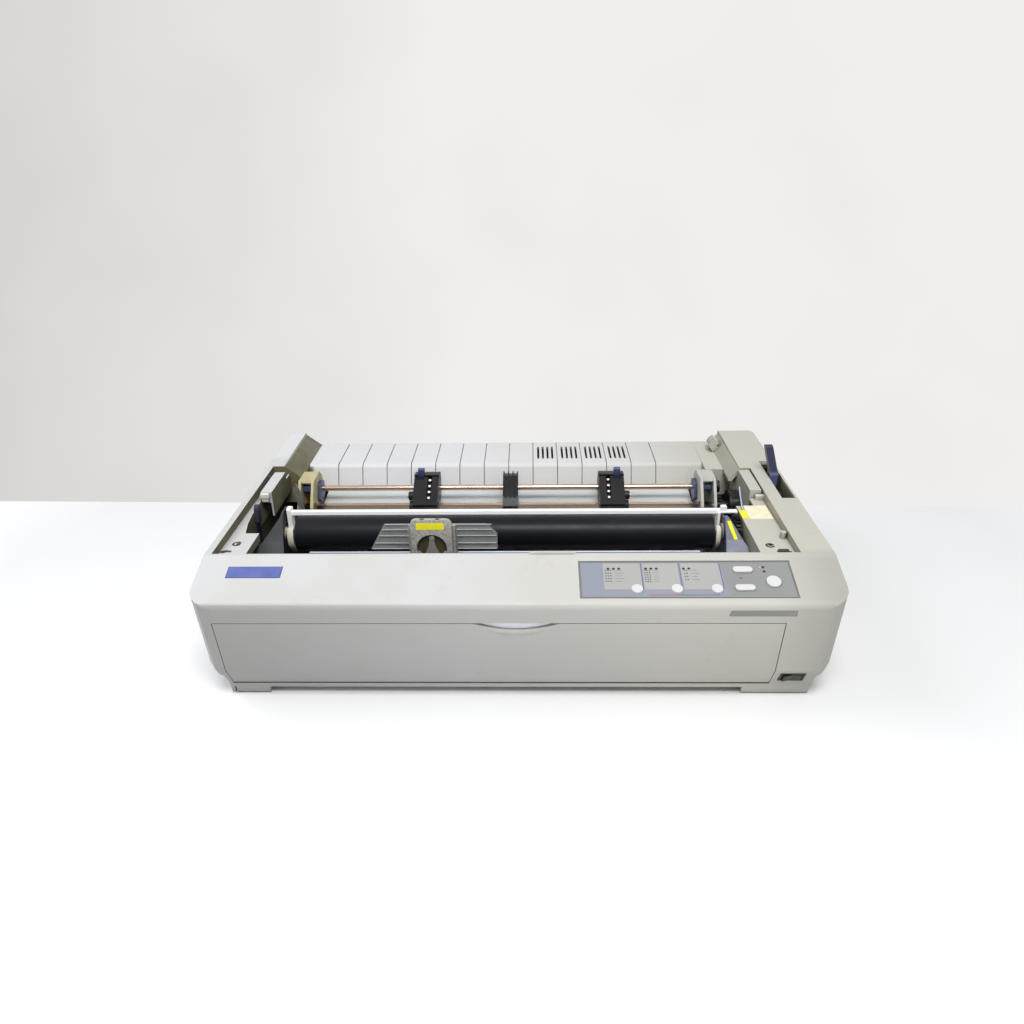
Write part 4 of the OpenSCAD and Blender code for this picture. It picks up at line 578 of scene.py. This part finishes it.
def add_panel_field():
    """The tinted field, the three pale boxes on it with their rules, and the border line."""
    field = [(3, 3), (143, 3), (138.5, PANEL_DEEP - 3), (2.5, PANEL_DEEP - 3)]
    film("panel_field", [rounded(field, 1.5)], "tint_lilac", 0.0, 0.10)
    low, high, rule_w = 11.5, PANEL_DEEP - 3.2, 0.8
    boxes = [box_outline(block["box"][0], low, block["box"][1], high) for block in BLOCKS]
    film("panel_boxes", boxes, "tint_pale", 0.05, 0.16)
    rules = [box_outline(block["rule"], low, block["rule"] + rule_w, high) for block in BLOCKS]
    film("panel_rules", rules, "ink_blue", 0.05, 0.20)
    edge, line = 1.1, 0.5
    right, top = PANEL_W - edge, PANEL_DEEP - edge
    border = [box_outline(edge, edge, right, edge + line),
              box_outline(edge, top - line, right, top),
              box_outline(edge, edge, edge + line, top),
              box_outline(right - line, edge, right, top)]
    film("panel_border", border, "ink_dark", 0.0, 0.12)


def caption_rows(block):
    """The heights of a block's rows on the panel, from the lamps downwards."""
    step = min(ROWS_DEEP / block["rows"], ROW_STEP)
    return [PANEL_DEEP - FIRST_ROW - step * r for r in range(block["rows"])]


def add_panel_captions():
    """Rows of small dots below the lamps, and bare strokes where the captions stand."""
    dot_r, dot_step, half_stroke = 0.75, 2.3, 0.35
    dots = [disc(dot_r, 10, (block["dots"] + dot_step * column, row))
            for block in BLOCKS for row in caption_rows(block) for column in range(block["columns"])]
    film("panel_dots", dots, "ink_dark", 0.10, 0.24)
    strokes = []
    for block in BLOCKS:
        for r, row in enumerate(caption_rows(block)):
            # every second stroke is a fifth shorter
            length = block["length"] * (0.8 + 0.2 * (r % 2))
            strokes.append(box_outline(block["strokes"], row - half_stroke,
                                       block["strokes"] + length, row + half_stroke))
    film("panel_strokes", strokes, "strip_grey", 0.10, 0.20)


def add_panel_marks():
    """The lines below the blocks, the arrows between the long buttons, and one lit mark."""
    film("panel_red_line", [box_outline(66, 4.2, 94, 4.8)], "ink_red", 0.08, 0.22)
    film("panel_blue_line", [box_outline(94.6, 4.2, 132, 4.7), box_outline(131.5, 4.2, 132, 7.2)],
         "ink_dark", 0.08, 0.22)
    middle, half, tall = 156.2, 1.4, 2.0
    arrows = []
    for foot, way in ((PANEL_DEEP - 15.6, 1), (PANEL_DEEP - 21.6, -1)):
        arrows.append([(middle - half, foot), (middle + half, foot), (middle, foot + way * tall)])
    film("panel_arrows", arrows, "ink_dark", 0.0, 0.14)
    film("panel_red_mark", [disc(0.9, 12, (PANEL_W - 30.0, PANEL_DEEP - 8.6))], "lamp_red", 0.0,
         0.16)


# ---------------------------------------------------------------- plates and labels
def add_badge():
    """The bare blue badge on the slope, with a dark line above and below it."""
    width, front, rear, margin, line = 54.5, FRONT_Y + 33.6, FRONT_Y + 48.1, 0.4, 0.45
    deep = (rear - front) / math.cos(SLOPE)
    base = on_slope(-SIDE_X + 30, front, -0.8)
    plate = rounded(box_outline(margin, margin, width - margin, deep - margin), 0.8)
    build("badge_plate", [(base, plate, 0, 1.1, 0.3)], "badge_blue", "chassis")
    build("badge_rim", [(base, box_outline(0.1, y, width - 0.1, y + line), 0, 0.7, 0)
                        for y in (0.05, deep - 0.05 - line)], "ink_dark", "chassis")


def add_labels():
    """The bare name strip on the front face, and the bare stickers on head, ledge and frame."""
    strip = [(0.4, -3.2), (62.6, -3.2), (62.6, 3.2), (2.2, 3.2)]
    build("name_strip", [(on_face(PANEL_X1 - 66.3, 114.5, -0.5), strip, 0, 0.5, 0)], "strip_grey",
          "chassis")
    label = rounded(box_outline(HEAD_X - 15.3, 153.6, HEAD_X + 13.8, 161.2), 0.4)
    build("head_label", [(upright(0, HEAD_BACK), label, 0, 0.25, 0)], "label_yellow",
          "carriage_set")
    ledge = flat(0, 0, LEDGE_TOP)
    build("ledge_label", [(ledge, box_outline(SIDE_X - 60, -44, SIDE_X - 34.5, -10.5), 0, 0.2, 0)],
          "label_old", "chassis")
    build("ledge_label_band", [(ledge, box_outline(SIDE_X - 67.8, -43, SIDE_X - 60.2, -22), 0, 0.2,
                                0)], "label_yellow", "chassis")
    # the yellow strip lies on the right frame's bent flange
    head, down, out = (231.4, -49.0, 136.1), (0.118, -0.925, -0.364), (0, -0.364, 0.925)
    build("frame_label", [(plane_at(head, down, out), box_outline(-2, 0, 2, 27), -0.3, 0.35, 0)],
          "label_yellow", "chassis")


# ---------------------------------------------------------------- print head and bail
def add_head():
    """The head: a front plate with a round well, the body that slopes down behind it, its fins."""
    half, top, foot = HEAD_W / 2, HEAD_TOP + 6.0, 98.0
    well_z, well_r = HEAD_TOP - 27.0, 15.9
    thick, corner_r, lap = 5.0, 6.0, 0.1
    nose_y = -72.0
    # the plate is two halves, which meet above and below the well
    high, low = top - well_z, foot - well_z
    corner = arc(corner_r, 0, 90, 6, (half - corner_r, high - corner_r))
    right = [(0, low), (half, low)] + corner + [(0, high)] + arc(well_r, 90, -90, 24)
    left = [(-px, py) for px, py in right]
    plate = upright(HEAD_X, HEAD_BACK + thick, well_z)
    parts = [(plate, right, 0, thick, 0), (plate, left, 0, thick, 0)]
    # the body and the fins round it
    side = sideways(HEAD_X)
    body_y = HEAD_BACK + thick - lap
    profile = [(body_y, foot), (nose_y, foot), (nose_y, 146.0), (nose_y - 4.0, 150.0),
               (body_y, 160.5)]
    parts.append((side, profile, -half + 2.0, half - 2.0, 0))
    for i in range(6):
        y = HEAD_BACK + 6.0 + i * 3.8
        fin = box_outline(y, 104, y + 1.6, 157.5 - 0.42 * (y - HEAD_BACK))
        parts.append((side, fin, -half - 3.0, half + 3.0, 0))
    # the nose towards the platen, and the neck down to the carriage
    nose = plane_at((HEAD_X, nose_y - lap, 0), (0, 0, 1), (0, 1, 0))
    parts.append((nose, [(-9, 108), (9, 108), (7, 126), (-7, 126)], 0, 12.8, 0.4))
    parts.append((side, box_outline(-100, 90, -74, foot + lap), -14.6, 14.6, 0))
    build("head_body", parts, "head_casting", "carriage_set", "print_head")
    # in the well: its floor, a flared post with a nub, and a lining ring that is open at the top
    face = upright(HEAD_X, HEAD_BACK, well_z)
    build("head_well", [(face, disc(well_r + 0.2, 40), -4.98, -4.2, 0)], "olive_well",
          "carriage_set")
    post = rounded([(-2.6, 9.5), (2.6, 9.5), (3.6, 2.0), (9.5, -12.4), (-9.5, -12.4),
                    (-3.6, 2.0)], 1.2)
    build("head_post", [(face, post, -4.3, -1.2, 0.6),
                        (face, disc(3.1, 16, (0.4, 11.2)), -4.3, -0.6, 0.8)],
          "well_post", "carriage_set")
    ring = open_ring(well_r + 0.1, well_r - 2.2, 200, 340, 20)
    build("head_ring", [(face, ring, -4.3, -2.4, 0.3)], "head_casting", "carriage_set")
    # dark notches in the top edge
    edge = flat(HEAD_X, HEAD_BACK + 0.9, top - 1.2)
    build("head_notches", [(edge, box_outline(x, 0, x + 4, 3.4), 0, 1.3, 0) for x in (-11.0, 5.0)],
          "olive_well", "carriage_set")


def add_bail():
    """The paper bail: a stout white bar on two arms, with the thin strip past the right arm."""
    side = sideways()
    bar = rounded([(-27.4, 133.6), (-21.2, 132.6), (-20.4, 138.6), (-26.8, 140.0)], 1.6)
    parts = [(side, bar, BAIL_L, BAIL_R + 3, 0.3)]
    for x0, x1, top in ((BAIL_L, BAIL_L + 5, 143.0), (BAIL_R, BAIL_R + 3, 137.5)):
        parts.append((side, rounded(box_outline(-29, 88, -19, top), 2.2), x0, x1, 0.5))
    parts.append((side, box_outline(-28, 135.4, -21, 136.8), BAIL_R + 2.9, SIDE_X - 70, 0.2))
    parts.append((side, box_outline(-27, 136.7, -21, 142.5), BAIL_R + 3.5, BAIL_R + 10, 0.5))
    build("bail_bar", parts, "bail_metal", "bail_set", "bail")


# ---------------------------------------------------------------- tractors, mask and cup
def add_tractor_knobs():
    """A knob with a brass ring at the outer side of each tractor."""
    for name, x, way in (("left", -131.0, -1), ("right", 130.0, 1)):
        side = plane_at((x, 59.0, 118.0), (0, 0, 1), (way, 0, 0))
        build("tractor_knob_" + name, [(side, disc(5.6, 20), -1.0, 5.5, 0.8)], "black_plastic",
              "tractor_" + name[0])
        build("tractor_ring_" + name, [(side, disc(3.2, 20), 5.4, 6.6, 0.3)], "brass_gear",
              "tractor_" + name[0])


def add_pin_tips():
    """Pale tips on the tractors' belt pins."""
    tilt = math.atan2(17, 28)
    along = Vector((0, math.cos(tilt), math.sin(tilt)))
    out = Vector((0, -math.sin(tilt), math.cos(tilt)))
    first, pitch = -1.0, 8.8
    for name, x in (("left", -111.0), ("right", 110.0)):
        parts = []
        for i in range(4):
            spot = Vector((x, 50, 121)) + along * (first + i * pitch) - out * 1.5
            parts.append((plane_at(spot, along, out), disc(1.7, 14), 0, 0.5, 0.15))
        build("pin_tips_" + name, parts, "block_white", "tractor_" + name[0])


def add_mask_ribs():
    """Bright ribs across the clear ribbon mask, longer at its foot than at its top."""
    face = upright(HEAD_X, MASK_Y)
    lowest, half = 107.5, 71.0
    parts = []
    for z in (lowest, 114.5, 123.5, 131.0, 137.3):
        left = -half + (z - lowest) * 0.55 - 1
        right = half - (10 if z > 125 else 5)
        parts.append((face, box_outline(left, z + 0.4, right, z + 1.25), 0.8, 1.25, 0.1))
    build("mask_ribs", parts, "rib_white", "carriage_set")


def add_cup():
    """Glowing cup behind the front's finger notch, a painted highlight for its glossy sheen: half an
    ellipse below a straight edge.
    """
    foot_z, rim_z, top_z = 96.0, 99.6, 101.2
    middle, half_w, deep = -1.9, 40.5, 9.6
    points = [(-half_w, top_z)]
    points += [(half_w * px, rim_z + deep * py) for px, py in arc(1.0, 180, 360, 12)]
    points += [(half_w, top_z)]
    outline = [(middle + px, (z - foot_z) / math.cos(LEAN)) for px, z in points]
    build("notch_cup", [(on_face(0, foot_z), outline, -7.0, -5.2, 0.4)], "cup_painted_highlight", "chassis")


# ---------------------------------------------------------------- small fasteners and fittings
def screw(name, matrix, radius):
    """A cross-recessed screw: a head with four cuts left between raised quarters."""
    half_cut, sink, rim, crown = 0.18 * radius, 0.2 * radius, 0.22 * radius, 0.42 * radius
    quarter = [(half_cut, half_cut)] + arc(radius, 12, 78, 6)
    parts = [(matrix @ Matrix.Rotation(q * math.pi / 2, 4, "Z"), quarter, 0.1 * radius, crown, 0.0)
             for q in range(4)]
    parts.append((matrix, disc(radius, 24), -sink, rim, 0.0))
    build(name, parts, "screw_steel", "chassis")


def add_screws():
    """The ledges' screws, deep in their holes, with rings of painted shade round them and flat dark
    sheets of painted shade for the slots beside.
    """
    screw("ledge_screw_left", flat(-SIDE_X + 19, -98, LEDGE_TOP - 8), 3.0)
    screw("ledge_screw_right", flat(SIDE_X - 55, -106, LEDGE_TOP - 8), 3.0)
    # flat sheets of painted shade: open rings round the screw holes and patches for the slots
    ring = open_ring(4.8, 2.6, 15, 345, 24)
    for name, x, y in (("left", -SIDE_X + 19.5, -98), ("right", SIDE_X - 54.5, -105)):
        build("ledge_recess_shade_" + name, [(flat(x, y, LEDGE_TOP), ring, -0.2, 0.15, 0)], "shadow_grey",
              "chassis")
    slots = {"left": [(-309, -117), (-304, -118), (-302, -116), (-297, -116.5), (-297, -113),
                      (-303, -112), (-308, -113.5)],
             "right": [(265, -118), (278, -118), (278, -112.5), (268, -112.5)]}
    for name, outline in slots.items():
        build("ledge_slot_shade_" + name, [(flat(0, 0, LEDGE_TOP), outline, -0.2, 0.12, 0)],
              "shadow_grey", "chassis")


def add_fittings():
    """White stops at the top cover's hinge blocks, and the hook plate beside the left bracket."""
    build("hinge_stop_left", [(flat(0, 0, 141.0), box_outline(-302, 4.5, -292, 9.5), 0, 5.0, 0.6),
                              (flat(0, 0, 136.2), box_outline(-300.5, 5.5, -293.5, 9.5), 0, 4.9,
                               0.4)], "block_white", "chassis")
    build("hinge_stop_right", [(flat(0, 0, 136.0), box_outline(274, 4.5, 287, 9.8), 0, 5.5, 0.6)],
          "block_white", "chassis")
    hook = [(-271.2, 125), (-267, 108), (-261.5, 108), (-263.4, 118), (-263.8, 133), (-268.6, 145),
            (-269.6, 137.5), (-271.5, 140), (-274, 135)]
    build("hook_plate_left", [(upright(0, 38.6), hook, 0, 1.4, 0.2)], "arm_grey", "chassis")


def add_wire():
    """The blue wire that rises towards the right bracket: a round rod along a smooth curve."""
    points = [(252.6, -22, 136.9), (254.5, -8, 138.5), (256.4, 8, 142), (257.5, 18, 146.5)]
    radius = 0.9
    curve = bpy.data.curves.new("right_wire", "CURVE")
    curve.dimensions = "3D"
    curve.bevel_depth = radius * MM
    curve.bevel_resolution = 3
    curve.use_fill_caps = True
    spline = curve.splines.new("NURBS")
    spline.points.add(len(points) - 1)
    for point, place in zip(spline.points, points):
        point.co = (*(Vector(place) * MM), 1)
    spline.use_endpoint_u = True
    spline.order_u = 3
    ob = bpy.data.objects.new("right_wire_curve", curve)
    bpy.context.scene.collection.objects.link(ob)
    mesh = bpy.data.meshes.new_from_object(ob.evaluated_get(bpy.context.evaluated_depsgraph_get()))
    bpy.data.objects.remove(ob)
    mesh.materials.clear()
    mesh.materials.append(MATERIALS["wire_blue"])
    for polygon in mesh.polygons:
        polygon.use_smooth = True
    piece = bpy.data.objects.new("right_wire", mesh)
    bpy.context.scene.collection.objects.link(piece)
    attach(piece, "chassis")


# ---------------------------------------------------------------- stage and light
def make_table():
    """A white table that ends where a pale wall begins."""
    mesh = bpy.data.meshes.new("floor")
    corners = [(-6, -6), (6, -6), (6, 0.137), (-6, 0.424)]
    below = 0.0002
    mesh.from_pydata([(x, y, -below) for x, y in corners], [], [(0, 1, 2, 3)])
    floor = bpy.data.objects.new("floor", mesh)
    bpy.context.scene.collection.objects.link(floor)
    t = Finish("floor_white")
    t.set(Roughness=0.55, Specular_IOR_Level=0.2)
    t.colour(t.mix(t.ramp(t.noise(3.0), 0.3, 0.7), (0.84, 0.84, 0.84), (0.82, 0.82, 0.82)))
    # the table glows faintly far from the printer, where the lamps don't reach
    away = t.nodes.new("ShaderNodeVectorMath")
    away.operation = "LENGTH"
    t.link(t.coords, away.inputs[0])
    t.set(Emission_Color=(1, 1, 1, 1))
    t.link(t.ramp(away.outputs["Value"], 0.7, 1.9, 0.0, 0.66), t.shader.inputs["Emission Strength"])
    mesh.materials.append(t.mat)


def make_world():
    """Soft light from all round; the camera sees a pale wall there, lighter to the right."""
    world = bpy.data.worlds.new("studio")
    bpy.context.scene.world = world
    world.use_nodes = True
    t = Tree(world.node_tree, "Generated")
    back = t.nodes["Background"]
    back.inputs["Color"].default_value = (0.95, 0.97, 1.0, 1)
    back.inputs["Strength"].default_value = 0.38
    cloud = t.ramp(t.noise(5.0), 0.3, 0.7, -0.12, 0.12)
    share = t.reckon("ADD", t.ramp(t.axis(X), -0.55, -0.10), cloud, clamp=True)
    wall = t.nodes.new("ShaderNodeBackground")
    wall.inputs["Strength"].default_value = 1.0
    t.link(t.mix(share, lin(214, 213, 211), lin(240, 239, 237)), wall.inputs["Color"])
    rays = t.nodes.new("ShaderNodeLightPath").outputs
    seen = t.reckon("MAXIMUM", rays["Is Camera Ray"], rays["Is Transmission Ray"])
    seen = t.reckon("MAXIMUM", seen, rays["Is Glossy Ray"])
    mixer = t.nodes.new("ShaderNodeMixShader")
    t.link(seen, mixer.inputs[0])
    t.link(back.outputs[0], mixer.inputs[1])
    t.link(wall.outputs[0], mixer.inputs[2])
    t.link(mixer.outputs[0], t.nodes["World Output"].inputs[0])


def area(name, place, size, power, colour=(1, 1, 1)):
    """A soft lamp, turned to the printer."""
    target = Vector((0, 0, 0.1))
    data = bpy.data.lights.new(name, "AREA")
    data.shape = "RECTANGLE"
    data.size, data.size_y = size
    data.energy = power
    data.color = colour
    ob = bpy.data.objects.new(name, data)
    bpy.context.scene.collection.objects.link(ob)
    ob.location = place
    ob.rotation_euler = (target - Vector(place)).to_track_quat("-Z", "Y").to_euler()


def make_lights():
    area("key", (0.15, -1.15, 2.1), (1.0, 0.8), 46)
    area("left", (-1.5, 0.1, 1.7), (1.2, 1.0), 13, (0.97, 0.98, 1.0))


# ---------------------------------------------------------------- the scene
place_camera()
case_plastic()
make_moulded()
make_metals()
make_split()
clear_film()
make_scene_only()
dress_nodes()
soften_nodes()
add_panel_field()
add_panel_captions()
add_panel_marks()
add_badge()
add_labels()
add_head()
add_bail()
add_tractor_knobs()
add_pin_tips()
add_mask_ribs()
add_cup()
add_screws()
add_fittings()
add_wire()
make_table()
make_world()
make_lights()
bpy.context.scene.view_settings.view_transform = "Standard"
